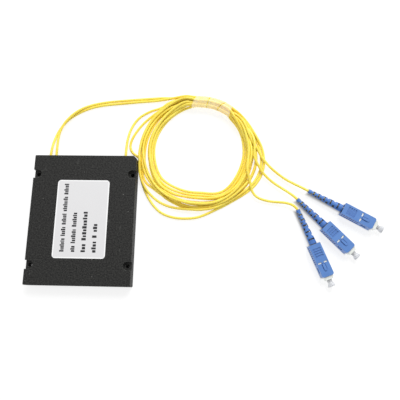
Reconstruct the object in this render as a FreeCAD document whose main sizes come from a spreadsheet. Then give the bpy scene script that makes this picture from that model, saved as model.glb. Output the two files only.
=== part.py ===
"""Fibre splitter module: a flat moulded box, three coiled leads and three push-pull plugs.

Frame: +X across the box, +Y towards the wall that the leads leave, +Z up.
Origin: the middle of the box's underside.  All sizes are in millimetres.
"""
import FreeCAD, Part
import Sketcher
import math
import os
import re
from types import SimpleNamespace

from FreeCAD import Placement, Rotation, Vector

# name, value, what it is
SIZES = [
    # box
    ("box_width", 80.0, "across X"),
    ("box_depth", 100.0, "along Y"),
    ("box_height", 10.0, "tray and cover together"),
    ("wall", 2.0, "side walls of the tray"),
    ("floor_thickness", 1.5, "floor of the tray"),
    ("cover_thickness", 2.0, "cover plate"),
    ("corner_round", 0.8, "upright corners of tray and cover"),
    ("corner_cut", 2.4, "bevelled corner beside the input lead, each way"),
    ("lip_width", 1.2, "locating lip under the cover"),
    ("lip_depth", 1.2, "how far the lip reaches into the tray"),
    ("lip_gap", 0.15, "clearance round the lip"),
    # screw seats
    ("hole_inset", 3.1, "hole axis from the side edge"),
    ("hole_pitch", 70.0, "between holes along Y"),
    ("hole_diameter", 3.3, "clearance hole for an M3 screw"),
    ("seat_width", 6.6, "open-sided counterbore"),
    ("seat_depth", 3.0, "counterbore below the top face"),
    ("seat_wall", 1.2, "column wall round the counterbore"),
    # label
    ("label_width", 40.0, "across X"),
    ("label_length", 60.0, "along Y"),
    ("label_thickness", 0.15, "vinyl"),
    ("label_round", 2.5, "corner radius"),
    # leads in the box
    ("cable_diameter", 2.0, "round jacket"),
    ("fibre_diameter", 0.9, "buffered fibre inside the box"),
    ("slot_gap", 0.1, "lead in its wall slot, on the diameter"),
    ("bore_gap", 0.1, "cable or fibre in its own bores, on the diameter"),
    ("lead_height", 5.0, "axis above the underside"),
    ("lead_inset", 10.0, "input and outer output leads from the side faces"),
    ("output_pitch", 4.7, "between the two output leads"),
    ("anchor_length", 12.0, "shrink sleeve over a lead's end"),
    ("anchor_wall", 0.7, "wall of the shrink sleeve"),
    ("anchor_inset", 0.6, "sleeve behind the wall's inner face"),
    ("cradle_width", 1.6, "ribs that carry sleeves and chip"),
    ("cradle_gap", 0.1, "side clearance in a cradle"),
    # splitter package
    ("package_side", 4.0, "square steel tube"),
    ("package_length", 40.0, "along Y"),
    ("package_wall", 0.3, "of the steel tube"),
    ("bend_gap", 2.0, "between the fibres' bend and the end wall"),
    ("plug_depth", 3.0, "rubber end plugs"),
    ("plug_gap", 0.1, "plug in the tube, across"),
    ("block_side", 2.6, "glass blocks and chip, square"),
    ("block_length", 6.0, "fibre blocks"),
    ("chip_length", 12.0, "splitter chip"),
    ("fibre_pitch", 1.2, "between the two output fibres"),
    ("guide_wall", 1.2, "curved fibre guide"),
    ("guide_height", 5.0, "above the floor"),
    ("guide_gap", 0.6, "guide to the nearer fibre"),
    # plug
    ("grip_length", 25.0, "sliding outer sleeve"),
    ("grip_width", 9.0, "across"),
    ("grip_height", 7.4, "up"),
    ("grip_side_wall", 0.85, "left and right"),
    ("grip_top_wall", 0.75, "top and bottom"),
    ("grip_round", 1.5, "front corners seen from above"),
    ("grip_travel", 1.8, "unlatching stroke"),
    ("frame_gap", 0.1, "plug frame in the grip, each side"),
    ("frame_start", 1.0, "rear face of the plug frame"),
    ("frame_nose", 2.5, "plug frame in front of the grip"),
    ("nose_taper", 1.9, "narrowing end of the plug frame"),
    ("nose_width", 5.4, "its front face, across"),
    ("nose_height", 4.9, "its front face, up"),
    ("nose_bore", 4.2, "recess round the ferrule"),
    ("nose_bore_depth", 7.3, "depth of that recess"),
    ("rear_bore", 5.0, "spring chamber"),
    ("spring_front", 14.5, "flange's rear face"),
    ("flange_diameter", 4.2, "ferrule flange"),
    ("flange_length", 2.5, "ferrule flange"),
    ("ferrule_diameter", 2.5, "ceramic ferrule"),
    ("ferrule_reach", 2.0, "tip in front of the plug frame"),
    ("ferrule_gap", 0.06, "radial clearance in the plug frame"),
    ("ferrule_travel", 1.0, "push-back stroke"),
    ("stem_diameter", 1.7, "tail of the ferrule"),
    ("stem_length", 5.0, "tail of the ferrule"),
    ("window_length", 4.0, "side window of the grip"),
    ("window_height", 2.6, "side window of the grip"),
    ("window_start", 17.0, "side window from the grip's rear"),
    ("mark_start", 14.0, "white marks from the grip's rear"),
    ("mark_length", 1.0, "along the plug"),
    ("mark_width", 2.5, "across"),
    ("mark_place", 2.2, "middle of a mark from the axis"),
    ("mark_skin", 0.3, "grip over a mark's pocket"),
    ("mark_gap", 0.1, "round a mark"),
    ("key_width", 1.8, "raised key"),
    ("key_length", 4.4, "raised key"),
    ("key_height", 0.55, "above the grip"),
    ("key_wall_gap", 0.5, "sunk moat beside and behind the key"),
    ("key_moat_depth", 0.2, "sunk moat"),
    ("panel_start", 3.4, "finger panel from the grip's rear"),
    ("panel_length", 7.2, "finger panel"),
    ("panel_width", 6.0, "finger panel"),
    ("panel_depth", 0.45, "finger panel"),
    ("panel_ribs", 4.0, "ribs in the panel"),
    ("side_ribs", 9.0, "ribs on each side face"),
    ("side_rib_depth", 0.3, "side grooves"),
    ("spring_wire", 0.5, "wire"),
    ("spring_coils", 5.0, "turns"),
    ("spring_gap", 0.15, "spring in its chamber, each side"),
    ("stop_reach", 7.0, "rear body inside the plug frame"),
    ("collar_diameter", 5.5, "rear body's collar"),
    ("collar_length", 1.5, "rear body's collar"),
    ("tail_diameter", 3.4, "rear body's tail"),
    ("tail_length", 6.5, "rear body's tail"),
    ("crimp_wall", 0.4, "crimp ring"),
    ("crimp_length", 5.4, "crimp ring"),
    ("crimp_gap", 0.05, "radial clearance round the tail"),
    ("boot_length", 27.9, "tapered boot"),
    ("boot_thin", 3.1, "outside diameter at the thin end"),
    ("boot_thick", 5.6, "outside diameter at the thick end"),
    ("boot_collar", 3.2, "plain part at the thick end"),
    ("boot_tip", 1.6, "plain part at the thin end"),
    ("boot_rows", 5.0, "rows of slots"),
    ("boot_slot", 1.05, "slots through the top, along the boot"),
    ("boot_slot_width", 0.82, "slots through the top, share of the boot's diameter"),
    ("boot_notch", 1.3, "notches through the sides, along the boot"),
    ("boot_notch_growth", 0.08, "each row's notch is longer by this"),
    ("boot_bridge", 0.09, "bridge over a notch, share of the boot's diameter"),
    ("cap_mouth", 1.4, "cap's mouth from the recess floor"),
    ("cap_neck", 3.5, "outside diameter"),
    ("cap_ring", 4.1, "outside diameter of the ring in front of the plug frame"),
    ("cap_ring_length", 0.7, "that ring"),
    ("cap_ring_gap", 0.15, "between that ring and the plug frame"),
    ("cap_head", 5.4, "outside diameter at the end"),
    ("cap_length", 11.2, "whole cap"),
    ("cap_flare", 2.0, "length of the cone"),
    ("cap_rim", 1.0, "length of the rim in front of the cone"),
    ("cap_dish", 0.5, "hollow of the end face"),
    ("cap_gap", 0.03, "radial clearance on the ferrule"),
    ("cap_tip_gap", 0.3, "ferrule tip to the cap's bottom"),
    # coil
    ("coil_floor_gap", 0.1, "coil above the surface"),
    ("coil_height", 6.0, "loose turns, piled"),
    ("coil_round", 1.8, "upper edges of the piled turns"),
    ("wrap_thickness", 0.3, "clear spiral tape"),
    ("wrap_gap", 0.02, "tape to the gathered leads"),
    ("bundle_diameter", 8.8, "leads gathered under the tape"),
]

PLUGS = [
    # name, X and Y of the grip's rear face, heading in degrees
    ("input", 197.4, 11.3, -28.6),
    ("output_1", 183.8, -1.9, -45.2),
    ("output_2", 174.7, -16.2, -67.5),
]

COIL_CENTRE = Vector(87.5, 57.5, 0)
WRAP_RADIUS = 40.2
WRAP_START = 50.0
WRAP_END = 97.0

# angle round the coil's centre, inner and outer edge of the piled turns
COIL_OUTLINE = [
    (0, 35.5, 50.8), (20, 35.8, 46.0), (45, 35.8, 44.0), (75, 36.2, 44.2), (105, 36.4, 46.0),
    (130, 36.2, 46.6), (155, 35.3, 47.0), (180, 34.9, 46.9), (200, 35.6, 49.2), (215, 36.4, 53.2),
    (230, 36.0, 57.0), (245, 34.2, 58.6), (260, 33.4, 57.0), (275, 33.5, 53.2), (290, 35.4, 50.0),
    (305, 38.2, 49.6), (320, 38.2, 51.8), (340, 36.4, 53.6),
]

# how far each lead runs straight out of its wall
STRAIGHT_OUT = {"input": 4.0, "output_1": 4.5, "output_2": 5.0}

# hand-laid routes of the leads beyond that, axis points
LEAD_IN = {
    "input": [(30.4, 67.5, 3.2), (34.4, 80.5, 1.3), (44.0, 88.3, 1.1), (56.5, 92.6, 1.1),
              (66.0, 95.5, 1.8)],
    "output_1": [(-26.6, 69.0, 2.4), (-18.2, 83.2, 1.1), (-3.0, 92.0, 1.1), (16.5, 95.6, 1.1),
                 (38.0, 97.4, 1.1), (56.5, 97.8, 1.1), (71.0, 98.6, 1.6)],
    "output_2": [(-24.2, 69.5, 4.6), (-16.6, 85.2, 3.5), (-3.5, 95.0, 2.0), (14.5, 98.9, 1.1),
                 (37.0, 100.6, 1.1), (58.0, 102.8, 1.1), (78.0, 101.2, 2.2)],
}
LEAD_OUT = {
    "input": [(128.5, 66.5, 5.7), (135.5, 53.5, 4.8), (144.5, 42.5, 2.8), (155.5, 34.0, 1.9)],
    "output_1": [(130.2, 54.5, 4.9), (136.2, 42.2, 3.6), (145.6, 31.4, 2.0)],
    "output_2": [(125.0, 44.5, 4.5), (126.2, 32.0, 4.2), (131.8, 21.8, 2.8), (143.5, 16.4, 1.8),
                 (155.0, 16.0, 2.7)],
}
# how far behind the grip each route meets its boot's axis, and the points it keeps inside
BOOT_POINTS = {
    "input": (33.8, 24.0, 15.0, 7.0),
    "output_1": (33.8, 24.0, 15.0, 7.0),
    "output_2": (31.6, 22.6, 14.6, 7.0),
}
BOOT_PLAY = 0.03
LOOSE_TURN = [(58.5, 90.2, 2.4), (50.4, 85.9, 1.9), (42.3, 79.0, 1.4), (36.4, 68.3, 1.1),
              (38.2, 57.6, 1.1), (42.9, 48.9, 1.1), (43.5, 41.0, 1.1)]

DOC = FreeCAD.newDocument("fibre_splitter")
WORD = re.compile(r"[a-z][a-z_]*[a-z]")
NODES = {}


# ---------------------------------------------------------------- document helpers

def make_sheet():
    """Write the table of sizes into the document and return its values by name."""
    sheet = DOC.addObject("Spreadsheet::Sheet", "Sizes")
    for row, (name, value, note) in enumerate(SIZES, start=1):
        sheet.set(f"A{row}", name)
        sheet.set(f"B{row}", str(value))
        sheet.setAlias(f"B{row}", name)
        sheet.set(f"C{row}", note)
    DOC.recompute()
    return SimpleNamespace(**{name: float(sheet.get(name)) for name, _, _ in SIZES})


S = make_sheet()


def bind(thing, **formulas):
    """Tie properties to formulas in the names of the sheet."""
    for prop, formula in formulas.items():
        path = prop.replace("__", ".")
        thing.setExpression(path, WORD.sub(lambda word: "Sizes." + word.group(), formula))
    return thing


def place(thing, x="0", y="0", z="0"):
    """Tie a primitive's place to the sheet."""
    return bind(thing, Placement__Base__x=x, Placement__Base__y=y, Placement__Base__z=z)


def box(name, length, width, height, x="0", y="0", z="0"):
    """Box from its low corner."""
    solid = DOC.addObject("Part::Box", name)
    bind(solid, Length=length, Width=width, Height=height)
    return place(solid, x, y, z)


def middle_box(name, length, width, height, x="0", y="0", z="0"):
    """Box centred on x and y, standing on z."""
    return box(name, length, width, height, f"{x} - ({length}) / 2", f"{y} - ({width}) / 2", z)


def axis_box(name, start, end, width, height, y="0"):
    """Box along a plug's axis, centred on the axis in z and on y."""
    return box(name, f"({end}) - ({start})", width, height, start,
               f"{y} - ({width}) / 2", f"-({height}) / 2")


def upright(name, diameter, height, x="0", y="0", z="0"):
    """Cylinder along +Z."""
    solid = DOC.addObject("Part::Cylinder", name)
    bind(solid, Radius=f"({diameter}) / 2", Height=height)
    return place(solid, x, y, z)


def along_y(name, diameter, length, x="0", y="0", z="0"):
    """Cylinder along +Y from its low end."""
    solid = DOC.addObject("Part::Cylinder", name)
    solid.Placement = Placement(Vector(), Rotation(Vector(1, 0, 0), -90))
    bind(solid, Radius=f"({diameter}) / 2", Height=length)
    return place(solid, x, y, z)


def along_x(name, diameter, start, end):
    """Cylinder on a plug's axis."""
    solid = DOC.addObject("Part::Cylinder", name)
    solid.Placement = Placement(Vector(), Rotation(Vector(0, 1, 0), 90))
    bind(solid, Radius=f"({diameter}) / 2", Height=f"({end}) - ({start})")
    return place(solid, start)


def taper_x(name, first, last, start, end):
    """Cone on a plug's axis, with its diameters at start and end."""
    solid = DOC.addObject("Part::Cone", name)
    solid.Placement = Placement(Vector(), Rotation(Vector(0, 1, 0), 90))
    bind(solid, Radius1=f"({first}) / 2", Radius2=f"({last}) / 2", Height=f"({end}) - ({start})")
    return place(solid, start)


def wedge_x(name, start, end, first, last):
    """Narrowing block on a plug's axis, with its width and height at start and end."""
    solid = DOC.addObject("Part::Wedge", name)
    solid.Placement = Placement(Vector(), Rotation(Vector(0, 0, 1), -90))
    bind(solid, Ymin="0", Ymax=f"({end}) - ({start})")
    bind(solid, Xmin=f"-({first[0]}) / 2", Xmax=f"({first[0]}) / 2")
    bind(solid, Zmin=f"-({first[1]}) / 2", Zmax=f"({first[1]}) / 2")
    bind(solid, X2min=f"-({last[0]}) / 2", X2max=f"({last[0]}) / 2")
    bind(solid, Z2min=f"-({last[1]}) / 2", Z2max=f"({last[1]}) / 2")
    return place(solid, start)


def fuse(name, solids):
    """Union of two or more objects."""
    union = DOC.addObject("Part::MultiFuse", name)
    union.Shapes = solids
    return union


def cut(name, base, tools):
    """Base less one or more tools."""
    difference = DOC.addObject("Part::Cut", name)
    difference.Base = base
    difference.Tool = tools[0] if len(tools) == 1 else fuse(name + "_tools", tools)
    return difference


def moved(shape, where):
    """Copy of a shape with a place worked into its geometry."""
    return shape.transformed(where.toMatrix(), True)


def turned(shape, centre, angle):
    """Copy of a shape turned about an upright axis."""
    turn = Placement(Vector(), Rotation(Vector(0, 0, 1), angle), centre)
    return moved(shape, turn)


def feature(name, shape):
    """Plain feature for a shape made from the sheet's values."""
    thing = DOC.addObject("Part::Feature", name)
    thing.Shape = shape
    return thing


def keep(node, thing, where=None):
    """Name a finished piece and set its place."""
    thing.Label = node
    if where is not None:
        thing.Placement = where
    NODES[node] = thing
    return thing


# ---------------------------------------------------------------- routes

def rounded_route(points, report=None):
    """Wire of straight runs joined by tangent arcs, each as large as its two runs allow."""
    points = [Vector(*point) for point in points]
    edges = []
    start = points[0]
    radii = []
    for before, corner, after in zip(points, points[1:], points[2:]):
        inward = (before - corner).normalize()
        outward = (after - corner).normalize()
        turn = math.pi - inward.getAngle(outward)
        reach = 0.45 * min((corner - before).Length, (after - corner).Length)
        radius = reach / math.tan(turn / 2)
        radii.append(radius)
        first = corner + inward * reach
        last = corner + outward * reach
        middle = (inward + outward).normalize()
        height = radius * (1 / math.cos(turn / 2) - 1)
        edges.append(Part.LineSegment(start, first).toShape())
        edges.append(Part.Arc(first, corner + middle * height, last).toShape())
        start = last
    edges.append(Part.LineSegment(start, points[-1]).toShape())
    if report:
        print(f"{report}: tightest arc {min(radii):.1f}, arcs", [round(r, 1) for r in radii])
    return Part.Wire(edges)


def tube_along(wire, diameter):
    """Round solid along a wire."""
    start = wire.Edges[0].firstVertex().Point
    first = wire.Edges[0]
    direction = first.tangentAt(first.FirstParameter)
    profile = Part.Wire([Part.Circle(start, direction, diameter / 2).toShape()])
    tube = wire.makePipeShell([profile], True, False)
    expected = math.pi * diameter ** 2 / 4 * wire.Length
    print(f"   tube volume {tube.Volume:.1f}, section times length {expected:.1f}")
    return tube


def cable(node, points):
    """One plain stretch of lead."""
    wire = rounded_route(points, node)
    print(f"   {node}: {wire.Length:.1f} long")
    keep(node, feature(node, tube_along(wire, S.cable_diameter)))


# ---------------------------------------------------------------- box

TRAY_HEIGHT = "box_height - cover_thickness"
HOLE_PLACE = "(box_width / 2 - hole_inset)"
COLUMN_REACH = "(hole_inset + seat_width / 2 + seat_wall)"
COLUMN_DEPTH = "(seat_width + 2 * seat_wall)"
SLEEVE_DIAMETER = "(cable_diameter + 2 * anchor_wall)"
SLEEVE_START = "(box_depth / 2 - wall - anchor_inset - anchor_length)"
INPUT_X = "(box_width / 2 - lead_inset)"
OUTPUT_X = "(lead_inset - box_width / 2)"
ENTRIES = {
    "input": INPUT_X,
    "output_1": OUTPUT_X,
    "output_2": f"({OUTPUT_X} + output_pitch)",
}
OUTER_BEND = f"(({INPUT_X} + fibre_pitch / 2 - {OUTPUT_X}) / 2)"
BEND_Y = f"(wall - box_depth / 2 + bend_gap + fibre_diameter / 2 + {OUTER_BEND})"
PACKAGE_PLACE = f"({BEND_Y} + package_length / 2)"
CORNERS = [(1, 1), (-1, 1), (-1, -1), (1, -1)]


def rectangle_sketch(body, name, width, depth, level):
    """Sketch of a centred rectangle in a body's XY plane, raised to a level."""
    sketch = body.newObject("Sketcher::SketchObject", name)
    plane = next(part for part in body.Origin.OriginFeatures if part.Role == "XY_Plane")
    sketch.AttachmentSupport = [(plane, "")]
    sketch.MapMode = "FlatFace"
    corners = [Vector(10 * x, 10 * y, 0) for x, y in CORNERS]
    for index in range(4):
        sketch.addGeometry(Part.LineSegment(corners[index], corners[(index + 1) % 4]), False)
    for index in range(4):
        sketch.addConstraint(Sketcher.Constraint("Coincident", index, 2, (index + 1) % 4, 1))
    for index in range(4):
        sketch.addConstraint(Sketcher.Constraint(("Horizontal", "Vertical")[index % 2], index))
    sketch.addConstraint(Sketcher.Constraint("Symmetric", 0, 1, 1, 2, -1, 1))
    across = sketch.addConstraint(Sketcher.Constraint("DistanceX", 0, 2, 0, 1, 20.0))
    along = sketch.addConstraint(Sketcher.Constraint("DistanceY", 1, 2, 1, 1, 20.0))
    sketch.setExpression(f"Constraints[{across}]", WORD.sub(lambda w: "Sizes." + w.group(), width))
    sketch.setExpression(f"Constraints[{along}]", WORD.sub(lambda w: "Sizes." + w.group(), depth))
    bind(sketch, AttachmentOffset__Base__z=level)
    return sketch


def rounded_plate(name, width, depth, thickness, level, radius):
    """PartDesign body: a padded rectangle with its four upright edges rounded."""
    body = DOC.addObject("PartDesign::Body", name)
    sketch = rectangle_sketch(body, name + "_outline", width, depth, level)
    pad = body.newObject("PartDesign::Pad", name + "_pad")
    pad.Profile = sketch
    bind(pad, Length=thickness)
    sketch.Visibility = False
    DOC.recompute()
    uprights = [f"Edge{index}" for index, edge in enumerate(pad.Shape.Edges, start=1)
                if abs(edge.Vertexes[0].Z - edge.Vertexes[-1].Z) > 1e-6]
    fillet = body.newObject("PartDesign::Fillet", name + "_corners")
    fillet.Base = (pad, uprights)
    bind(fillet, Radius=radius)
    body.Tip = fillet
    return body


def hollow(body, name, width, depth, level):
    """Pocket a centred rectangle down from a plate's top face to a level above its underside."""
    sketch = rectangle_sketch(body, name + "_opening", width, depth, TRAY_HEIGHT)
    pocket = body.newObject("PartDesign::Pocket", name)
    pocket.Profile = sketch
    bind(pocket, Length=f"{TRAY_HEIGHT} - ({level})")
    sketch.Visibility = False
    body.Tip = pocket
    return body


def corner_formula(sign, formula):
    """A formula, negated on the low side."""
    return formula if sign > 0 else f"-{formula}"


def seat_tools():
    """Open-sided counterbores and through holes, shared by tray and cover."""
    tools = []
    level = "box_height - seat_depth"
    for index, (side, end) in enumerate(CORNERS):
        hole_x = corner_formula(side, HOLE_PLACE)
        hole_y = corner_formula(end, "(hole_pitch / 2)")
        tools.append(upright(f"seat_{index}", "seat_width", "seat_depth + 1", hole_x, hole_y, level))
        edge = "box_width / 2 + 1"
        low_x = HOLE_PLACE if side > 0 else f"-({edge})"
        tools.append(box(f"seat_side_{index}", f"{edge} - {HOLE_PLACE}", "seat_width",
                         "seat_depth + 1", low_x, f"{hole_y} - seat_width / 2", level))
        tools.append(upright(f"hole_{index}", "hole_diameter", "box_height + 2", hole_x, hole_y, "-1"))
    return fuse("seat_tools", tools)


def bevelled_corner():
    """Wedge that bevels the corner beside the input lead."""
    reach_x = S.box_width / 2 + 1
    reach_y = S.box_depth / 2 + 1
    side = S.corner_cut + 2
    corners = [Vector(reach_x, reach_y, -1), Vector(reach_x - side, reach_y, -1),
               Vector(reach_x, reach_y - side, -1), Vector(reach_x, reach_y, -1)]
    face = Part.Face(Part.makePolygon(corners))
    return feature("bevelled_corner", face.extrude(Vector(0, 0, S.box_height + 2)))


def columns():
    """Solid corner columns that carry the screw seats."""
    posts = []
    for index, (side, end) in enumerate(CORNERS):
        low_x = f"box_width / 2 - {COLUMN_REACH}" if side > 0 else "-(box_width / 2) + wall / 2"
        middle_y = corner_formula(end, "(hole_pitch / 2)")
        posts.append(box(f"column_{index}", f"{COLUMN_REACH} - wall / 2", COLUMN_DEPTH,
                         f"{TRAY_HEIGHT} - floor_thickness / 2", low_x,
                         f"{middle_y} - {COLUMN_DEPTH} / 2", "floor_thickness / 2"))
    return posts


def cradle_rib(name, width, x, y):
    """Rib across the floor, up to the axis of what it carries."""
    return middle_box(name, f"{width} + 2 * cradle_width", "cradle_width",
                      "lead_height - floor_thickness / 2", x, y, "floor_thickness / 2")


def sleeve_cradles():
    """Two ribs under each shrink sleeve, and their round seats."""
    ribs = []
    seats = []
    for entry, x in ENTRIES.items():
        for end in (1, 3):
            y = f"{SLEEVE_START} + anchor_length * {end} / 4"
            ribs.append(cradle_rib(f"sleeve_rib_{entry}_{end}", SLEEVE_DIAMETER, x, y))
            seats.append(along_y(f"sleeve_seat_{entry}_{end}", f"{SLEEVE_DIAMETER} + 2 * cradle_gap",
                                 "cradle_width + 2", x, f"{y} - cradle_width / 2 - 1", "lead_height"))
    return ribs, seats


def package_cradles():
    """Two ribs under the splitter package, and their square seats."""
    ribs = []
    seats = []
    for end in (-1, 1):
        y = f"{PACKAGE_PLACE} + {end} * package_length / 3"
        ribs.append(cradle_rib(f"package_rib_{end + 2}", "package_side", INPUT_X, y))
        seats.append(middle_box(f"package_seat_{end + 2}", "package_side + 2 * cradle_gap",
                                "cradle_width + 2", "package_side", INPUT_X, y,
                                "lead_height - package_side / 2"))
    return ribs, seats


INNER_BEND = f"(({INPUT_X} - fibre_pitch / 2 - {OUTPUT_X} - output_pitch) / 2)"
INNER_BEND_X = f"(({INPUT_X} - fibre_pitch / 2 + {OUTPUT_X} + output_pitch) / 2)"


def fibre_guide():
    """Curved wall inside the fibres' bend."""
    sector = 140
    first_angle = 200
    outer = f"2 * ({INNER_BEND} - fibre_diameter / 2 - guide_gap)"
    inner = f"{outer} - 2 * guide_wall"
    walls = []
    for name, diameter, extra in (("guide_outer", outer, "0"), ("guide_inner", inner, "1")):
        wall = DOC.addObject("Part::Cylinder", name)
        wall.Angle = sector
        wall.Placement = Placement(Vector(), Rotation(Vector(0, 0, 1), first_angle))
        bind(wall, Radius=f"({diameter}) / 2", Height=f"guide_height + {extra}")
        place(wall, INNER_BEND_X, BEND_Y, f"floor_thickness / 2")
        walls.append(wall)
    return cut("fibre_guide", walls[0], [walls[1]])


def entry_slots():
    """Slots in the end wall, open upwards, one for each lead."""
    tools = []
    width = "cable_diameter + slot_gap"
    for entry, x in ENTRIES.items():
        tools.append(middle_box(f"slot_{entry}", width, "wall + 2", "box_height", x,
                                "box_depth / 2 - wall / 2", "lead_height"))
        tools.append(along_y(f"slot_round_{entry}", width, "wall + 2", x,
                             "box_depth / 2 - wall - 1", "lead_height"))
    return tools


def make_tray(seats, corner):
    """Lower shell: floor, walls, screw columns, cradles, fibre guide and lead slots."""
    shell = rounded_plate("tray_shell", "box_width", "box_depth", TRAY_HEIGHT, "0", "corner_round")
    hollow(shell, "tray_hollow", "box_width - 2 * wall", "box_depth - 2 * wall", "floor_thickness")
    sleeve_ribs, sleeve_seats = sleeve_cradles()
    package_ribs, package_seats = package_cradles()
    inside = columns() + sleeve_ribs + package_ribs + [fibre_guide()]
    solid = fuse("tray_solid", [shell] + inside)
    keep("base_tray", cut("tray", solid, [seats, corner] + entry_slots() + sleeve_seats + package_seats))


def make_cover(seats, corner):
    """Cover plate with a locating lip and a tongue over each lead."""
    plate = rounded_plate("cover_plate", "box_width", "box_depth", "cover_thickness", TRAY_HEIGHT,
                          "corner_round")
    inner_width = "box_width - 2 * wall - 2 * lip_gap"
    inner_depth = "box_depth - 2 * wall - 2 * lip_gap"
    level = f"{TRAY_HEIGHT} - lip_depth"
    height = "lip_depth + cover_thickness / 2"
    lip = middle_box("lip_outer", inner_width, inner_depth, height, "0", "0", level)
    hole = middle_box("lip_inner", f"{inner_width} - 2 * lip_width", f"{inner_depth} - 2 * lip_width",
                      f"{height} + 2", "0", "0", f"{level} - 1")
    breaks = [hole]
    for index, (side, end) in enumerate(CORNERS):
        reach = f"({COLUMN_REACH} + lip_gap)"
        low_x = f"box_width / 2 - {reach}" if side > 0 else "-(box_width / 2)"
        middle_y = corner_formula(end, "(hole_pitch / 2)")
        depth = f"({COLUMN_DEPTH} + 2 * lip_gap)"
        breaks.append(box(f"lip_break_{index}", reach, depth, "lip_depth + 1", low_x,
                          f"{middle_y} - {depth} / 2", f"{level} - 1"))
    tongues = []
    for entry, x in ENTRIES.items():
        low = "lead_height + cable_diameter / 2 + slot_gap / 2"
        tongues.append(middle_box(f"tongue_{entry}", "cable_diameter - slot_gap", "wall",
                                  f"{TRAY_HEIGHT} - ({low}) + cover_thickness / 2", x,
                                  "box_depth / 2 - wall / 2", low))
    solid = fuse("cover_solid", [plate, cut("lip", lip, breaks)] + tongues)
    keep("top_cover", cut("cover", solid, [seats, corner]))


def make_label():
    """Vinyl label on the cover."""
    keep("label", rounded_plate("label_body", "label_width", "label_length", "label_thickness",
                                "box_height", "label_round"))


def make_sleeves():
    """Shrink sleeves that hold the leads' ends in the box."""
    for entry, x in ENTRIES.items():
        outer = along_y(f"sleeve_outer_{entry}", SLEEVE_DIAMETER, "anchor_length", x, SLEEVE_START,
                        "lead_height")
        cable_bore = along_y(f"sleeve_cable_{entry}", "cable_diameter + bore_gap",
                             "anchor_length / 2 + 1", x,
                             f"{SLEEVE_START} + anchor_length / 2", "lead_height")
        fibre_bore = along_y(f"sleeve_fibre_{entry}", "fibre_diameter + bore_gap",
                             "anchor_length + 2", x, f"{SLEEVE_START} - 1", "lead_height")
        keep(f"anchor_sleeve_{entry}", cut(f"sleeve_{entry}", outer, [cable_bore, fibre_bore]))


def package_bore(name, x, start):
    """Bore for one fibre through an end plug."""
    return along_y(name, "fibre_diameter + bore_gap / 2", "plug_depth + 2", x, f"{start} - 1",
                   "lead_height")


def package_piece(node, side, length, start, bores=()):
    """Square piece on the package's axis, from start along +Y."""
    name = node + "_piece"
    blank = box(name, side, length, side, f"{INPUT_X} - ({side}) / 2", start,
                f"lead_height - ({side}) / 2")
    keep(node, cut(name + "_bored", blank, list(bores)) if bores else blank)


def make_package():
    """Steel tube with end plugs, two fibre blocks and the splitter chip."""
    low = BEND_Y
    high = f"({BEND_Y} + package_length)"
    inner = "(package_side - 2 * package_wall)"
    way = box("package_way", inner, "package_length + 2", inner, f"{INPUT_X} - {inner} / 2",
              f"{low} - 1", f"lead_height - {inner} / 2")
    package_piece("package_tube", "package_side", "package_length", low, [way])
    plug_side = f"({inner} - plug_gap)"
    package_piece("input_end_plug", plug_side, "plug_depth", f"{high} - plug_depth",
                  [package_bore("input_bore", INPUT_X, f"{high} - plug_depth")])
    package_piece("output_end_plug", plug_side, "plug_depth", low,
                  [package_bore("output_bore_1", f"{INPUT_X} + fibre_pitch / 2", low),
                   package_bore("output_bore_2", f"{INPUT_X} - fibre_pitch / 2", low)])
    chip_low = f"({PACKAGE_PLACE} - chip_length / 2)"
    package_piece("splitter_chip", "block_side", "chip_length", chip_low)
    package_piece("input_fibre_block", "block_side", "block_length", f"{chip_low} + chip_length")
    package_piece("output_fibre_block", "block_side", "block_length", f"{chip_low} - block_length")


def make_fibres():
    """Buffered fibres between the leads' ends and the fibre blocks, all in one level."""
    top = S.box_depth / 2 - S.wall - S.anchor_inset - S.anchor_length / 2
    level = S.lead_height
    input_x = S.box_width / 2 - S.lead_inset
    outer_bend = input_x + S.fibre_pitch / 4
    bend_y = S.wall - S.box_depth / 2 + S.bend_gap + S.fibre_diameter / 2 + outer_bend
    block_high = bend_y + S.package_length / 2 + S.chip_length / 2 + S.block_length
    block_low = block_high - S.chip_length - 2 * S.block_length
    straight = Part.Wire([Part.LineSegment(Vector(input_x, top, level),
                                           Vector(input_x, block_high, level)).toShape()])
    keep("fibre_input", feature("fibre_input", tube_along(straight, S.fibre_diameter)))
    for node, offset, place_x in (("fibre_output_1", 0.5, -input_x),
                                  ("fibre_output_2", -0.5, S.output_pitch - input_x)):
        near_x = input_x + offset * S.fibre_pitch
        radius = (near_x - place_x) / 2
        middle_x = (near_x + place_x) / 2
        wire = Part.Wire([
            Part.LineSegment(Vector(near_x, block_low, level), Vector(near_x, bend_y, level)).toShape(),
            Part.Arc(Vector(near_x, bend_y, level), Vector(middle_x, bend_y - radius, level),
                     Vector(place_x, bend_y, level)).toShape(),
            Part.LineSegment(Vector(place_x, bend_y, level), Vector(place_x, top, level)).toShape(),
        ])
        keep(node, feature(node, tube_along(wire, S.fibre_diameter)))


# ---------------------------------------------------------------- plug, in its own frame
# x runs forward along the axis from the grip's rear face, z is up from the axis

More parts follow.
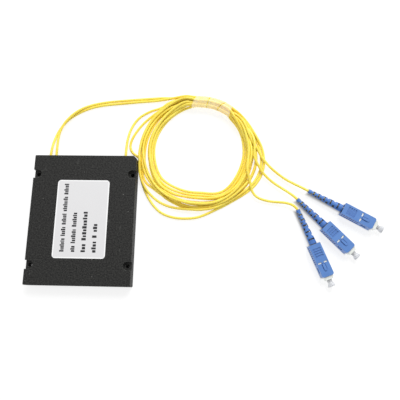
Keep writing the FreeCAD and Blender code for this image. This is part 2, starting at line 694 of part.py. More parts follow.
CAVITY_WIDTH = "(grip_width - 2 * grip_side_wall)"
CAVITY_HEIGHT = "(grip_height - 2 * grip_top_wall)"
FRAME_WIDTH = f"({CAVITY_WIDTH} - 2 * frame_gap)"
FRAME_HEIGHT = f"({CAVITY_HEIGHT} - 2 * frame_gap)"
FRAME_END = "(grip_length + frame_nose)"
RECESS_FLOOR = f"({FRAME_END} - nose_bore_depth)"
FLANGE_END = "(spring_front + flange_length)"
FERRULE_END = f"({FRAME_END} + ferrule_reach)"
CAP_START = f"({RECESS_FLOOR} + cap_mouth)"
TAIL_START = "(-(collar_length - frame_start) - tail_length)"
BOOT_END = "(-(collar_length - frame_start))"
BOOT_START = f"({BOOT_END} - boot_length)"
STOP_END = "(frame_start + stop_reach)"
CRIMP_DIAMETER = "(tail_diameter + 2 * crimp_gap + 2 * crimp_wall)"


def plug_place(x, y, heading):
    """Where a plug lies: on its side faces' level, turned to its heading."""
    return Placement(Vector(x, y, S.grip_height / 2), Rotation(Vector(0, 0, 1), heading))


def side_grooves(plug):
    """Upright grooves in both side faces, behind the windows."""
    grooves = []
    count = int(S.side_ribs)
    for index in range(count):
        start = f"1.2 + {index} * (window_start - 3) / {count}"
        for side in (-1, 1):
            low_y = "grip_width / 2 - side_rib_depth" if side > 0 else "-(grip_width / 2) - 1"
            groove = box(f"groove_{plug}_{index}_{side + 1}", "0.7", "side_rib_depth + 1",
                         "grip_height - 2 * grip_top_wall", start, low_y,
                         "-(grip_height / 2) + grip_top_wall")
            grooves.append(groove)
    return grooves


def finger_panels(plug):
    """Sunk panels on top and bottom, each with ribs left standing across it."""
    tools = []
    count = int(S.panel_ribs)
    pitch = f"panel_length / {count}"
    for side in (-1, 1):
        low_z = "grip_height / 2 - panel_depth" if side > 0 else "-(grip_height / 2) - 1"
        for index in range(count):
            tools.append(box(f"panel_{plug}_{side + 1}_{index}", f"0.62 * {pitch}", "panel_width",
                             "panel_depth + 1", f"panel_start + {index} * {pitch}",
                             "-(panel_width / 2)", low_z))
    return tools


MARK_ROOF = "(grip_height / 2 - mark_skin)"


def mark_boxes(plug, name, gap, stroke, low, high):
    """Two boxes beside the key: the marks, their windows or the pockets that they slide in."""
    marks = []
    for side in (-1, 1):
        marks.append(box(f"{name}_{plug}_{side + 1}", f"mark_length + 2 * {gap} + {stroke}",
                         f"mark_width + 2 * {gap}", f"({high}) - ({low})", f"mark_start - {gap}",
                         f"{side} * mark_place - mark_width / 2 - {gap}", low))
    return marks


def make_grip(plug, where):
    """Blue sliding sleeve: finger panels, grooves, windows, marks and a raised key in its moat."""
    blank = axis_box(f"grip_blank_{plug}", "0", "grip_length", "grip_width", "grip_height")
    DOC.recompute()
    front = [index for index, edge in enumerate(blank.Shape.Edges, start=1)
             if min(vertex.X for vertex in edge.Vertexes) > S.grip_length / 2
             and abs(edge.Vertexes[0].Z - edge.Vertexes[1].Z) > S.grip_height / 2]
    rounded = DOC.addObject("Part::Fillet", f"grip_rounded_{plug}")
    rounded.Base = blank
    rounded.Edges = [(index, S.grip_round, S.grip_round) for index in front]
    moat_start = "(mark_start + mark_length)"
    moat_width = "key_width + 2 * key_wall_gap"
    moat = middle_box(f"moat_{plug}", "key_length", moat_width, "key_moat_depth + 1",
                      f"{moat_start} + key_length / 2", "0", "grip_height / 2 - key_moat_depth")
    cavity = axis_box(f"cavity_{plug}", "-1", "grip_length + 1", CAVITY_WIDTH, CAVITY_HEIGHT)
    window = axis_box(f"window_{plug}", "window_start", "window_start + window_length",
                      "grip_width + 2", "window_height")
    openings = mark_boxes(plug, "mark_window", "mark_gap", "0", "0", "grip_height")
    openings += mark_boxes(plug, "mark_pocket", "mark_gap", "grip_travel", "0", MARK_ROOF)
    shell = cut(f"grip_shell_{plug}", rounded,
                [cavity, window, moat] + finger_panels(plug) + side_grooves(plug) + openings)
    key_low = "grip_height / 2 - key_moat_depth - 0.1"
    key_height = "key_moat_depth + 0.1 + key_height"
    key_start = f"{moat_start} + key_wall_gap"
    key = middle_box(f"key_{plug}", "key_length", "key_width", key_height,
                     f"{key_start} + key_length / 2", "0", key_low)
    key_end = upright(f"key_end_{plug}", "key_width", key_height, f"{key_start} + key_length", "0",
                      key_low)
    keep(f"grip_{plug}", fuse(f"grip_{plug}_solid", [shell, key, key_end]), where)


def make_plug_frame(plug, where):
    """White inner body: spring chamber behind, recess round the ferrule in front."""
    taper_start = f"({FRAME_END} - nose_taper)"
    blank = axis_box(f"frame_blank_{plug}", "frame_start", taper_start, FRAME_WIDTH, FRAME_HEIGHT)
    nose = wedge_x(f"frame_nose_{plug}", taper_start, FRAME_END, (FRAME_WIDTH, FRAME_HEIGHT),
                   ("nose_width", "nose_height"))
    block = fuse(f"frame_block_{plug}", [blank, nose])
    chamber = along_x(f"chamber_{plug}", "rear_bore", "frame_start - 1", FLANGE_END)
    way = along_x(f"ferrule_way_{plug}", "ferrule_diameter + 2 * ferrule_gap", "frame_start", FRAME_END)
    recess = along_x(f"recess_{plug}", "nose_bore", RECESS_FLOOR, f"{FRAME_END} + 1")
    body = cut(f"frame_body_{plug}", block, [chamber, way, recess])
    marks = mark_boxes(plug, "mark", "0", "0", "rear_bore / 2 + frame_gap", f"{MARK_ROOF} - mark_gap")
    keep(f"plug_frame_{plug}", fuse(f"frame_solid_{plug}", [body] + marks), where)


def make_ferrule(plug, where):
    """Ceramic ferrule with its metal flange and hollow tail."""
    barrel = along_x(f"barrel_{plug}", "ferrule_diameter", FLANGE_END, FERRULE_END)
    flange = along_x(f"flange_{plug}", "flange_diameter", "spring_front", FLANGE_END)
    stem = along_x(f"stem_{plug}", "stem_diameter", "spring_front - stem_length", "spring_front")
    solid = fuse(f"ferrule_solid_{plug}", [barrel, flange, stem])
    bore = along_x(f"ferrule_bore_{plug}", "fibre_diameter + bore_gap", "spring_front - stem_length - 1",
                   FLANGE_END)
    keep(f"ferrule_{plug}", cut(f"ferrule_cut_{plug}", solid, [bore]), where)


def make_spring(plug, where):
    """Helical spring between the rear body and the ferrule's flange."""
    start = S.frame_start + S.stop_reach
    length = S.spring_front - start
    radius = (S.rear_bore - S.spring_wire) / 2 - S.spring_gap
    height = length - S.spring_wire
    helix = Part.makeHelix(height / S.spring_coils, height, radius)
    first = helix.Edges[0]
    origin = first.valueAt(first.FirstParameter)
    profile = Part.Wire([Part.Circle(origin, first.tangentAt(first.FirstParameter),
                                     S.spring_wire / 2).toShape()])
    coil = Part.Wire(helix.Edges).makePipeShell([profile], True, True)
    along = Placement(Vector(start + S.spring_wire / 2, 0, 0), Rotation(Vector(0, 1, 0), 90))
    keep(f"spring_{plug}", feature(f"spring_{plug}", moved(coil, along)), where)


def make_rear_body(plug, where):
    """Stop that closes the plug frame, with a collar and the tail that the crimp grips."""
    stop = along_x(f"stop_{plug}", "rear_bore - 2 * crimp_gap", "frame_start", STOP_END)
    collar = along_x(f"collar_{plug}", "collar_diameter", BOOT_END, "frame_start")
    tail = along_x(f"tail_{plug}", "tail_diameter", TAIL_START, BOOT_END)
    solid = fuse(f"rear_solid_{plug}", [stop, collar, tail])
    bore = along_x(f"rear_bore_{plug}", "cable_diameter + 2 * bore_gap", f"{TAIL_START} - 1",
                   f"{STOP_END} + 1")
    keep(f"rear_body_{plug}", cut(f"rear_body_cut_{plug}", solid, [bore]), where)


def make_crimp(plug, where):
    """Crimp ring over the tail."""
    end = f"({BOOT_END} - 0.3)"
    outer = along_x(f"crimp_outer_{plug}", CRIMP_DIAMETER, f"{end} - crimp_length", end)
    bore = along_x(f"crimp_bore_{plug}", "tail_diameter + 2 * crimp_gap", f"{end} - crimp_length - 1",
                   f"{end} + 1")
    keep(f"crimp_ring_{plug}", cut(f"crimp_{plug}", outer, [bore]), where)


def boot_slots(plug):
    """In each row a notch through both sides, then a slot through top and bottom."""
    tools = []
    rows = int(S.boot_rows)
    free = S.boot_length - S.boot_collar - S.boot_tip
    unit = free / (rows * (rows + 9))
    boot_start = S.frame_start - S.collar_length - S.boot_length
    start = S.boot_tip
    for row in range(rows):
        pitch = unit * (10 + 2 * row)
        notch = S.boot_notch + S.boot_notch_growth * row
        for name, length, place_x in (("notch", notch, start + 0.4 * pitch - notch / 2),
                                      ("slot", S.boot_slot, start + pitch - S.boot_slot)):
            share = (place_x + length / 2 - S.boot_tip) / free
            thickness = S.boot_thin + (S.boot_thick - S.boot_thin) * share
            high = thickness * (1 - 2 * S.boot_bridge)
            across = thickness * S.boot_slot_width
            width, height = (thickness + 1, high) if name == "notch" else (across, thickness + 1)
            corner = Vector(boot_start + place_x, -width / 2, -height / 2)
            tools.append(feature(f"boot_{name}_{plug}_{row}", Part.makeBox(length, width, height, corner)))
        start += pitch
    return tools


def make_boot(plug, where):
    """Tapered slotted boot."""
    taper_end = f"({BOOT_END} - boot_collar)"
    tip_end = f"({BOOT_START} + boot_tip)"
    tip = along_x(f"boot_tip_{plug}", "boot_thin", BOOT_START, tip_end)
    taper = taper_x(f"boot_taper_{plug}", "boot_thin", "boot_thick", tip_end, taper_end)
    collar = along_x(f"boot_collar_{plug}", "boot_thick", taper_end, BOOT_END)
    solid = fuse(f"boot_solid_{plug}", [tip, taper, collar])
    bore = along_x(f"boot_bore_{plug}", "cable_diameter + 2 * bore_gap", f"{BOOT_START} - 1",
                   f"{BOOT_END} + 1")
    chamber = along_x(f"boot_chamber_{plug}", f"{CRIMP_DIAMETER} + 2 * crimp_gap",
                      f"{TAIL_START} - 0.4", f"{BOOT_END} + 1")
    keep(f"boot_{plug}", cut(f"boot_cut_{plug}", solid, [bore, chamber] + boot_slots(plug)), where)


def make_cap(plug, where):
    """Soft clear dust cap on the ferrule."""
    end = f"({CAP_START} + cap_length)"
    rim_start = f"({end} - cap_rim)"
    flare_start = f"({end} - cap_rim - cap_flare)"
    ring_start = f"({FRAME_END} + cap_ring_gap)"
    neck = along_x(f"cap_neck_{plug}", "cap_neck", CAP_START, flare_start)
    ring = along_x(f"cap_ring_{plug}", "cap_ring", ring_start, f"{ring_start} + cap_ring_length")
    flare = taper_x(f"cap_flare_{plug}", "cap_neck", "cap_head", flare_start, rim_start)
    rim = along_x(f"cap_rim_{plug}", "cap_head", rim_start, end)
    solid = fuse(f"cap_solid_{plug}", [neck, ring, flare, rim])
    bore = along_x(f"cap_bore_{plug}", "ferrule_diameter + 2 * cap_gap", f"{CAP_START} - 1",
                   f"{FERRULE_END} + cap_tip_gap")
    dish = taper_x(f"cap_dish_{plug}", "cap_head / 3", "cap_head * 0.86", f"{end} - cap_dish",
                   f"{end} + 0.01")
    keep(f"dust_cap_{plug}", cut(f"cap_cut_{plug}", solid, [bore, dish]), where)


# ---------------------------------------------------------------- leads

def ring_point(angle, radius):
    """Point in plan at an angle and radius from the coil's centre."""
    turn = math.radians(angle)
    return COIL_CENTRE + Vector(radius * math.cos(turn), radius * math.sin(turn), S.coil_floor_gap)


def outline(column):
    """Solid inside a smooth closed curve through one edge of the coil's outline."""
    points = [ring_point(row[0], row[column]) for row in COIL_OUTLINE]
    curve = Part.BSplineCurve()
    curve.interpolate(Points=points, PeriodicFlag=True)
    return Part.Face(Part.Wire([curve.toShape()])).extrude(Vector(0, 0, S.coil_height))


def ring_part(radius, tube, first, last, hollow_radius=0.0):
    """Round tube or bar bent round the coil's centre between two angles."""
    height = bundle_height()
    centre = COIL_CENTRE + Vector(radius, 0, height)
    disc = Part.Face(Part.Wire([Part.Circle(centre, Vector(0, 1, 0), tube).toShape()]))
    if hollow_radius:
        disc = disc.cut(Part.Face(Part.Wire([Part.Circle(centre, Vector(0, 1, 0), hollow_radius).toShape()])))
    return turned(disc.revolve(COIL_CENTRE, Vector(0, 0, 1), last - first), COIL_CENTRE, first)


def bundle_height():
    """Axis of the gathered leads, so that the tape lies on the surface."""
    return S.coil_floor_gap + S.wrap_thickness + S.wrap_gap + S.bundle_diameter / 2


def sector(first, last, height):
    """Wedge about the coil's centre."""
    wedge = Part.makeCylinder(200, height, COIL_CENTRE - Vector(0, 0, 1), Vector(0, 0, 1), last - first)
    return turned(wedge, COIL_CENTRE, first)


def make_coil():
    """Outer shape of the coiled leads: piled loose turns, gathered to a round bundle under the tape."""
    band = outline(2).cut(outline(1))
    rims = [edge for edge in band.Edges
            if edge.BoundBox.ZMin > S.coil_floor_gap + S.coil_height - 0.01]
    band = band.makeFillet(S.coil_round, rims)
    overlap = 3
    band = band.cut(sector(WRAP_START - overlap, WRAP_END + overlap, S.coil_height + 2))
    reach = 2 * overlap
    gathered = ring_part(WRAP_RADIUS, S.bundle_diameter / 2, WRAP_START - reach, WRAP_END + reach)
    keep("lead_coil", feature("lead_coil", band.fuse(gathered)))


def make_wrap():
    """Clear tape wound round the gathered leads, with two slanting gaps over the top."""
    inner = S.bundle_diameter / 2 + S.wrap_gap
    outer = inner + S.wrap_thickness
    tape = ring_part(WRAP_RADIUS, outer, WRAP_START, WRAP_END, inner)
    gap_angles = (0.40, 0.68)
    for share in gap_angles:
        angle = WRAP_START + (WRAP_END - WRAP_START) * share
        middle = ring_point(angle, WRAP_RADIUS)
        middle.z = bundle_height() + 0.5
        gap = Part.makeBox(14, 1.0, 6, Vector(-7, -0.5, 0))
        tape = tape.cut(moved(gap, Placement(middle, Rotation(Vector(0, 0, 1), angle - 14))))
    keep("coil_wrap", feature("coil_wrap", tape))


def boot_points(plug, x, y, heading):
    """Route points on a plug's axis, from in front of its boot to its tail."""
    where = plug_place(x, y, heading)
    points = []
    for index, back in enumerate(BOOT_POINTS[plug]):
        play = BOOT_PLAY if index % 2 else -BOOT_PLAY
        points.append(tuple(where.multVec(Vector(-back, play, 0))))
    return points


def start_points(plug):
    """Route points of a lead inside its sleeve and straight out of its wall."""
    input_x = S.box_width / 2 - S.lead_inset
    x = {"input": input_x, "output_1": -input_x, "output_2": S.output_pitch - input_x}[plug]
    inside = S.box_depth / 2 - S.wall - S.anchor_inset - S.anchor_length / 2
    outside = S.box_depth / 2 + STRAIGHT_OUT[plug]
    return [(x, inside, S.lead_height), (x, outside, S.lead_height)]


def make_leads():
    """Free stretches of the three leads, and the turn that stands out from the coil."""
    for plug, x, y, heading in PLUGS:
        cable(f"lead_in_{plug}", start_points(plug) + LEAD_IN[plug])
        cable(f"lead_out_{plug}", LEAD_OUT[plug] + boot_points(plug, x, y, heading))
    cable("lead_loose_turn", LOOSE_TURN)


# ---------------------------------------------------------------- build and write

def check_document():
    """Stop if any object failed or any piece is null or invalid."""
    DOC.recompute()
    for thing in DOC.Objects:
        if "Invalid" in thing.State or "Error" in thing.State:
            raise RuntimeError(f"{thing.Name} failed: {thing.State}")
    for node, thing in NODES.items():
        if thing.Shape.isNull() or not thing.Shape.isValid():
            raise RuntimeError(f"{node} has no valid shape")


def main():
    """Build every piece, check the document and write one STEP file for each."""
    seats = seat_tools()
    corner = bevelled_corner()
    make_tray(seats, corner)
    make_cover(seats, corner)
    make_label()
    make_sleeves()
    make_package()
    make_fibres()
    for plug, x, y, heading in PLUGS:
        where = plug_place(x, y, heading)
        for make in (make_grip, make_plug_frame, make_ferrule, make_spring, make_rear_body,
                     make_crimp, make_boot, make_cap):
            make(plug, where)
    make_coil()
    make_wrap()
    make_leads()
    check_document()
    os.makedirs("parts", exist_ok=True)
    for node, thing in NODES.items():
        thing.Shape.exportStep(f"parts/{node}.step")
        print(f"{node}: {len(thing.Shape.Solids)} solid, {thing.Shape.Volume:.1f} mm3")


main()
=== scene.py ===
"""Visual model of a fibre splitter module: box, label, coiled leads, tape, plugs and caps.

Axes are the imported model's: +X across the box towards the coil, +Y towards the wall that the
leads leave, +Z up.  Places are written in metres, and MM turns small sizes to metres.
"""
import logging
import math
from dataclasses import dataclass, field
from enum import Enum

import bmesh
import bpy
import numpy as np
from bmesh.types import BMesh
from bpy.types import Material, Node, NodeSocket, Object
from mathutils import Matrix, Vector
from mathutils.geometry import convex_hull_2d


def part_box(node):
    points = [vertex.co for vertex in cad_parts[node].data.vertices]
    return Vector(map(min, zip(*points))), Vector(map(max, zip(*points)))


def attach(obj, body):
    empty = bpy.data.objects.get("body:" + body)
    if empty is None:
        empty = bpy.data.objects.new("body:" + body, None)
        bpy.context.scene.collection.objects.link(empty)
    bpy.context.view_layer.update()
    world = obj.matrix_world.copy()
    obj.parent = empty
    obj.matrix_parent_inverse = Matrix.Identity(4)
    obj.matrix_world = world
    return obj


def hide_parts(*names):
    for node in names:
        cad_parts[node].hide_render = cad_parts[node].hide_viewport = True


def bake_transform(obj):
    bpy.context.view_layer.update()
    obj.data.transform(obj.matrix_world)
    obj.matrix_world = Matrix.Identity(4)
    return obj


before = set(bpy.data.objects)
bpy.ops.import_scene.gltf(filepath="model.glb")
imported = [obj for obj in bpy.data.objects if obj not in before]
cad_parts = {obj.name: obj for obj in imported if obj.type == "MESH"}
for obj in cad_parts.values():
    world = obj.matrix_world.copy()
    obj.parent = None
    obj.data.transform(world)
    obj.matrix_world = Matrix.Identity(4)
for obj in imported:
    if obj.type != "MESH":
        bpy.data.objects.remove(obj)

LOG = logging.getLogger("splitter")
MM = 0.001
Pair = tuple[float, float]
Place = tuple[float, float, float]
Route = list[Place]


class Lead(Enum):
    """The three leads, by where they start in the box."""

    INPUT = "input"
    OUTPUT_1 = "output_1"
    OUTPUT_2 = "output_2"


class Body(Enum):
    """Bodies that new pieces ride on."""

    MODULE = "module"


# ---- shading helpers

def linear(hex_colour: str) -> tuple[float, float, float, float]:
    """Turn an sRGB hex colour to linear.

    Args:
        hex_colour: six hex digits.

    Returns:
        Linear red, green, blue and an alpha of 1.
    """
    shares = [int(hex_colour[i:i + 2], 16) / 255 for i in (0, 2, 4)]
    return (*[c / 12.92 if c <= 0.04045 else ((c + 0.055) / 1.055) ** 2.4 for c in shares], 1.0)


def per_mm(size: float) -> float:
    """Texture scale that gives features of about a size in millimetres."""
    return 1.0 / (size * MM)


class Graph:
    """Node graph of one new material."""

    def __init__(self, name: str) -> None:
        """Start the material with one node, which gives the place on the object.

        Args:
            name: the material's name.
        """
        self.material = bpy.data.materials.new(name)
        self.material.use_nodes = True
        self.tree = self.material.node_tree
        self.tree.nodes.clear()
        self.point = self.add("TexCoord").outputs["Object"]

    def add(self, kind: str, settings: dict | None = None, links: dict | None = None) -> Node:
        """Add a node with its settings and the links into it.

        Args:
            kind: the node's type name after "ShaderNode".
            settings: property values, or input values under the input's name or number; "stops"
                holds a ramp's places and hex colours.
            links: what feeds inputs, under the input's name or number: a socket, or a node
                whose first output does.

        Returns:
            The new node.
        """
        node = self.tree.nodes.new("ShaderNode" + kind)
        for key, value in (settings or {}).items():
            if key == "stops":
                for element, (position, colour) in zip(node.color_ramp.elements, value):
                    element.position = position
                    element.color = linear(colour)
            elif isinstance(key, str) and hasattr(node, key):
                setattr(node, key, value)
            else:
                node.inputs[key].default_value = value
        for key, source in (links or {}).items():
            socket = source.outputs[0] if isinstance(source, Node) else source
            self.tree.links.new(socket, node.inputs[key])
        return node

    def textured(self, relief: Node, rough: Pair, bump: Pair, links: dict | None = None,
                 ends: Pair = (0.3, 0.7)) -> dict:
        """Let one texture vary a shader's roughness and raise its surface.

        Args:
            relief: the texture.
            rough: roughness at the texture's low and high end.
            bump: strength of the relief, and its depth in millimetres.
            links: further links of the relief, such as the normal that it starts from.
            ends: values that count as the texture's ends.

        Returns:
            The links into the shader.
        """
        varied = self.add("MapRange", {"From Min": ends[0], "From Max": ends[1],
                                       "To Min": rough[0], "To Max": rough[1]}, {"Value": relief})
        raised = self.add("Bump", {"Strength": bump[0], "Distance": bump[1] * MM},
                          {"Height": relief} | (links or {}))
        return {"Roughness": varied, "Normal": raised}

    def outside(self, point: NodeSocket | Node, halves: Pair, edge: float) -> Node:
        """Add nodes that give 0 within a rectangle and 1 outside it.

        Args:
            point: a place, counted from the rectangle's middle.
            halves: half sizes along X and Y in metres.
            edge: half width of the change from 0 to 1, in metres.

        Returns:
            The last node.
        """
        axes = self.add("SeparateXYZ", links={"Vector": point})
        rises = []
        for axis, half in zip("XY", halves):
            away = self.add("Math", {"operation": "ABSOLUTE"}, {0: axes.outputs[axis]})
            rises.append(self.add("MapRange", {"From Min": half - edge, "From Max": half + edge},
                                  {"Value": away}))
        return self.add("Math", {"operation": "MAXIMUM"}, dict(enumerate(rises)))

    def output(self, shader: Node) -> Material:
        """Lead a shader to the material's output.

        Args:
            shader: the shader's last node.

        Returns:
            The finished material.
        """
        self.add("OutputMaterial", links={"Surface": shader})
        return self.material


# ---- finishes

@dataclass(frozen=True)
class TexturedAbs:
    """Spark-textured black ABS: fine pits break up the gloss, moulded edges shine a little.

    The pits are too fine to see from a step away, so they are drawn as coarse as they show.
    Handling leaves a few pale specks and hairline scuffs, and a painted highlight lightens the
    edges.
    """

    name: str = "spark_textured_black_abs"
    dark: str = "080808"
    light: str = "343432"
    speck_and_edge_highlight: str = "8E8E8A"
    roughness: float = 0.62
    grain_mm: float = 1.0
    speck_mm: float = 9.0
    scuff_mm: float = 2.5
    scuff_stretch: Place = (1.0, 0.22, 1.0)
    scuff_turn: Place = (0.0, 0.0, 0.7)
    edge_mm: float = 0.3
    painted_edge_highlight: float = 0.5

    def make(self) -> Material:
        """Build the material.

        Returns:
            The material.
        """
        graph = Graph(self.name)
        add, point = graph.add, {"Vector": graph.point}
        grain = add("TexNoise", {"Scale": per_mm(self.grain_mm), "Detail": 3.0, "Roughness": 0.75},
                    point)
        body = add("ValToRGB", {"stops": [(0.4, self.dark), (0.62, self.light)]}, {"Fac": grain})
        dust = add("TexVoronoi", {"Scale": per_mm(self.speck_mm)}, point)
        specks = add("MapRange", {"From Min": 0.045, "From Max": 0.02, "To Max": 0.7},
                     {"Value": dust})
        stretched = add("Mapping", {"Scale": self.scuff_stretch, "Rotation": self.scuff_turn},
                        point)
        lines = add("TexNoise", {"Scale": per_mm(self.scuff_mm), "Detail": 2.0},
                    {"Vector": stretched})
        scuffs = add("MapRange", {"From Min": 0.68, "From Max": 0.78, "To Max": 0.12},
                     {"Value": lines})
        soft_edge = add("Bevel", {"samples": 6, "Radius": self.edge_mm * MM})
        # Painted highlight: where the rounded normal turns from the flat one, edges lighten towards
        # the speck colour.
        flat = add("NewGeometry").outputs["True Normal"]
        turned = add("VectorMath", {"operation": "DOT_PRODUCT"}, {0: soft_edge, 1: flat})
        painted_edge_highlight = add("MapRange", {"From Min": 0.98, "From Max": 0.85, "To Max": self.painted_edge_highlight},
                     {"Value": turned.outputs["Value"]})
        spots = add("Math", {"operation": "MAXIMUM"}, {0: specks, 1: scuffs})
        marks_and_edge_highlight = add("Math", {"operation": "MAXIMUM"}, {0: spots, 1: painted_edge_highlight})
        colour = add("Mix", {"data_type": "RGBA", 7: linear(self.speck_and_edge_highlight)}, {0: marks_and_edge_highlight, 6: body})
        pits = graph.textured(grain, (self.roughness + 0.08, self.roughness - 0.12), (0.45, 0.08),
                              {"Normal": soft_edge}, ends=(0.3, 0.75))
        return graph.output(add("BsdfPrincipled", {"IOR": 1.5, "Specular IOR Level": 0.3},
                                {"Base Color": colour.outputs[2]} | pits))


@dataclass(frozen=True)
class LabelStock:
    """Satin white label stock with a grey printed field, which leaves a bright white border."""

    name: str = "satin_printed_label_stock"
    border: str = "FBFBFB"
    field: str = "E2E1E2"
    mottle: str = "DCDCDD"
    halves: Pair = (19.2 * MM, 29.2 * MM)
    edge: float = 0.1 * MM
    mottle_mm: float = 0.6
    wave_mm: float = 9.0
    roughness: float = 0.38

    def make(self) -> Material:
        """Build the material.

        Returns:
            The material.
        """
        graph = Graph(self.name)
        add, point = graph.add, {"Vector": graph.point}
        mottle = add("TexNoise", {"Scale": per_mm(self.mottle_mm), "Detail": 4.0}, point)
        tone = add("ValToRGB", {"stops": [(0.3, self.mottle), (0.7, self.field)]}, {"Fac": mottle})
        in_border = graph.outside(graph.point, self.halves, self.edge)
        colour = add("Mix", {"data_type": "RGBA", 7: linear(self.border)}, {0: in_border, 6: tone})
        wave = add("TexNoise", {"Scale": per_mm(self.wave_mm), "Detail": 2.0}, point)
        satin = graph.textured(wave, (self.roughness - 0.06, self.roughness + 0.08), (0.2, 0.03))
        return graph.output(add("BsdfPrincipled", {"IOR": 1.48},
                                {"Base Color": colour.outputs[2]} | satin))


@dataclass(frozen=True)
class PlainFinish:
    """Moulded, extruded, ground or printed finish: clouds, a fine skin and softened edges.

    With a shade colour, painted shade darkens grooves and gaps past a set place along X
    towards it, from ambient occlusion.
    """

    name: str
    base: str
    shade: str
    roughness: float = 0.35
    cloud_mm: float = 6.0
    skin_mm: float = 0.3
    skin: float = 0.15
    edge_mm: float = 0.15
    ior: float = 1.5
    metallic: float = 0.0
    subsurface: float = 0.0
    subsurface_mm: float = 0.5
    painted_shade: str = ""
    painted_shade_mm: float = 1.0
    painted_shade_from_mm: float = -1000.0

    def make(self) -> Material:
        """Build the material.

        Returns:
            The material.
        """
        graph = Graph(self.name)
        add, point = graph.add, {"Vector": graph.point}
        cloud = add("TexNoise", {"Scale": per_mm(self.cloud_mm), "Detail": 4.0}, point)
        colour = add("ValToRGB", {"stops": [(0.32, self.shade), (0.62, self.base)]}, {"Fac": cloud})
        # Painted shade: ambient occlusion darkens hollows towards the shade colour, past a set
        # place along X.
        if self.painted_shade:
            hollow = add("AmbientOcclusion", {"samples": 6, "Distance": self.painted_shade_mm * MM})
            daylight = add("MapRange", {"From Min": 0.35, "From Max": 0.9},
                           {"Value": hollow.outputs["AO"]})
            along = add("SeparateXYZ", links=point).outputs["X"]
            clear = add("Math", {"operation": "LESS_THAN", 1: self.painted_shade_from_mm * MM}, {0: along})
            share = add("Math", {"operation": "MAXIMUM"}, {0: daylight, 1: clear})
            colour = add("Mix", {"data_type": "RGBA", 6: linear(self.painted_shade)},
                         {0: share, 7: colour}).outputs[2]
        fine = add("TexNoise", {"Scale": per_mm(self.skin_mm), "Detail": 3.0}, point)
        soft_edge = add("Bevel", {"samples": 4, "Radius": self.edge_mm * MM})
        skin = graph.textured(fine, (max(self.roughness - 0.07, 0.03), self.roughness + 0.09),
                              (self.skin, 0.03), {"Normal": soft_edge})
        return graph.output(add(
            "BsdfPrincipled",
            {"IOR": self.ior, "Metallic": self.metallic, "Subsurface Weight": self.subsurface,
             "Subsurface Scale": self.subsurface_mm * MM, "Subsurface Radius": (1.0, 1.0, 1.0)},
            {"Base Color": colour} | skin))


@dataclass(frozen=True)
class ClearFinish:
    """Clear film or milky moulding: what lies behind shows through, and ripples catch the light.

    The haze passes light on to what lies behind, and the glow is painted light: the film gives
    off light of its own colour.
    """

    name: str
    base: str
    shade: str
    alpha: float
    roughness: float
    ripple_mm: float
    ripple: float
    ior: float = 1.5
    edge_mm: float = 0.1
    haze: float = 0.4
    glow: float = 0.0

    def make(self) -> Material:
        """Build the material.

        Returns:
            The material.
        """
        graph = Graph(self.name)
        add = graph.add
        ripple = add("TexNoise", {"Scale": per_mm(self.ripple_mm), "Detail": 3.0,
                                  "Distortion": 0.5}, {"Vector": graph.point})
        body = add("ValToRGB", {"stops": [(0.35, self.shade), (0.6, self.base)]}, {"Fac": ripple})
        soft_edge = add("Bevel", {"samples": 4, "Radius": self.edge_mm * MM})
        skin = graph.textured(ripple, (max(self.roughness - 0.08, 0.02), self.roughness + 0.1),
                              (self.ripple, 0.15), {"Normal": soft_edge})
        # The emission is painted light: it brightens the film as if it were lit.
        gloss = add("BsdfPrincipled", {"IOR": self.ior, "Emission Strength": self.glow},
                    {"Base Color": body, "Emission Color": body} | skin)
        haze = add("BsdfTranslucent", links={"Color": body})
        film = add("MixShader", {0: self.haze}, {1: gloss, 2: haze})
        clear = add("BsdfTransparent")
        return graph.output(add("MixShader", {0: self.alpha}, {1: clear, 2: film}))


# Extruded PVC jacket: bright yellow with slow drifts of tone and a soft, slightly matt skin.
# Past 158 mm along X, towards the plugs, painted shade darkens it where the boots close round it.
LEAD_JACKET = PlainFinish("extruded_yellow_pvc", "FFEA60", "F9DC4E", 0.4, 16.0, 0.5, 0.2, 0.05,
                          subsurface=0.15, painted_shade="2E2A0C", painted_shade_mm=1.6, painted_shade_from_mm=158.0)
# Moulded PBT grip: even blue with a satin skin, and light caught along its edges.
# Painted shade darkens its grooves and narrow gaps.
GRIP = PlainFinish("moulded_blue_pbt", "5C87C8", "557FC0", 0.36, 7.0, 0.35, 0.18, 0.2,
                   painted_shade="3558A4", painted_shade_mm=0.6)
# Soft moulded elastomer boot: deeper blue and duller than the hard grip.
# Painted shade darkens its slots and grooves nearly to black.
BOOT = PlainFinish("moulded_blue_elastomer", "4C7DC6", "4270B8", 0.5, 5.0, 0.35, 0.25, 0.2,
                   subsurface=0.15, subsurface_mm=0.4, painted_shade="080D22", painted_shade_mm=1.8)
# Moulded white PBT plug frame: slightly green-grey white, seen in the marks and at the nose.
PLUG_FRAME = PlainFinish("moulded_white_pbt", "F0F3EE", "E2E6E0", 0.33, 5.0, 0.3, 0.12, 0.15,
                         subsurface=0.1, subsurface_mm=0.4)
# Ground and polished zirconia: hard white ceramic with a clear glint.
FERRULE = PlainFinish("polished_zirconia", "F4F1E8", "EAE5DA", 0.12, 3.0, 0.15, 0.05, 0.05,
                      ior=2.15)
# Drawn spring wire: bright steel with fine drawing streaks.
SPRING = PlainFinish("drawn_stainless_wire", "D2D1CD", "A5A4A0", 0.25, 0.6, 0.15, 0.2, 0.05,
                     metallic=1.0)
# Turned brass rear body with black nickel plating: warm dark metal.
REAR_BODY = PlainFinish("plated_turned_brass", "6B6863", "55524E", 0.3, 2.0, 0.2, 0.1, 0.1,
                        metallic=1.0)
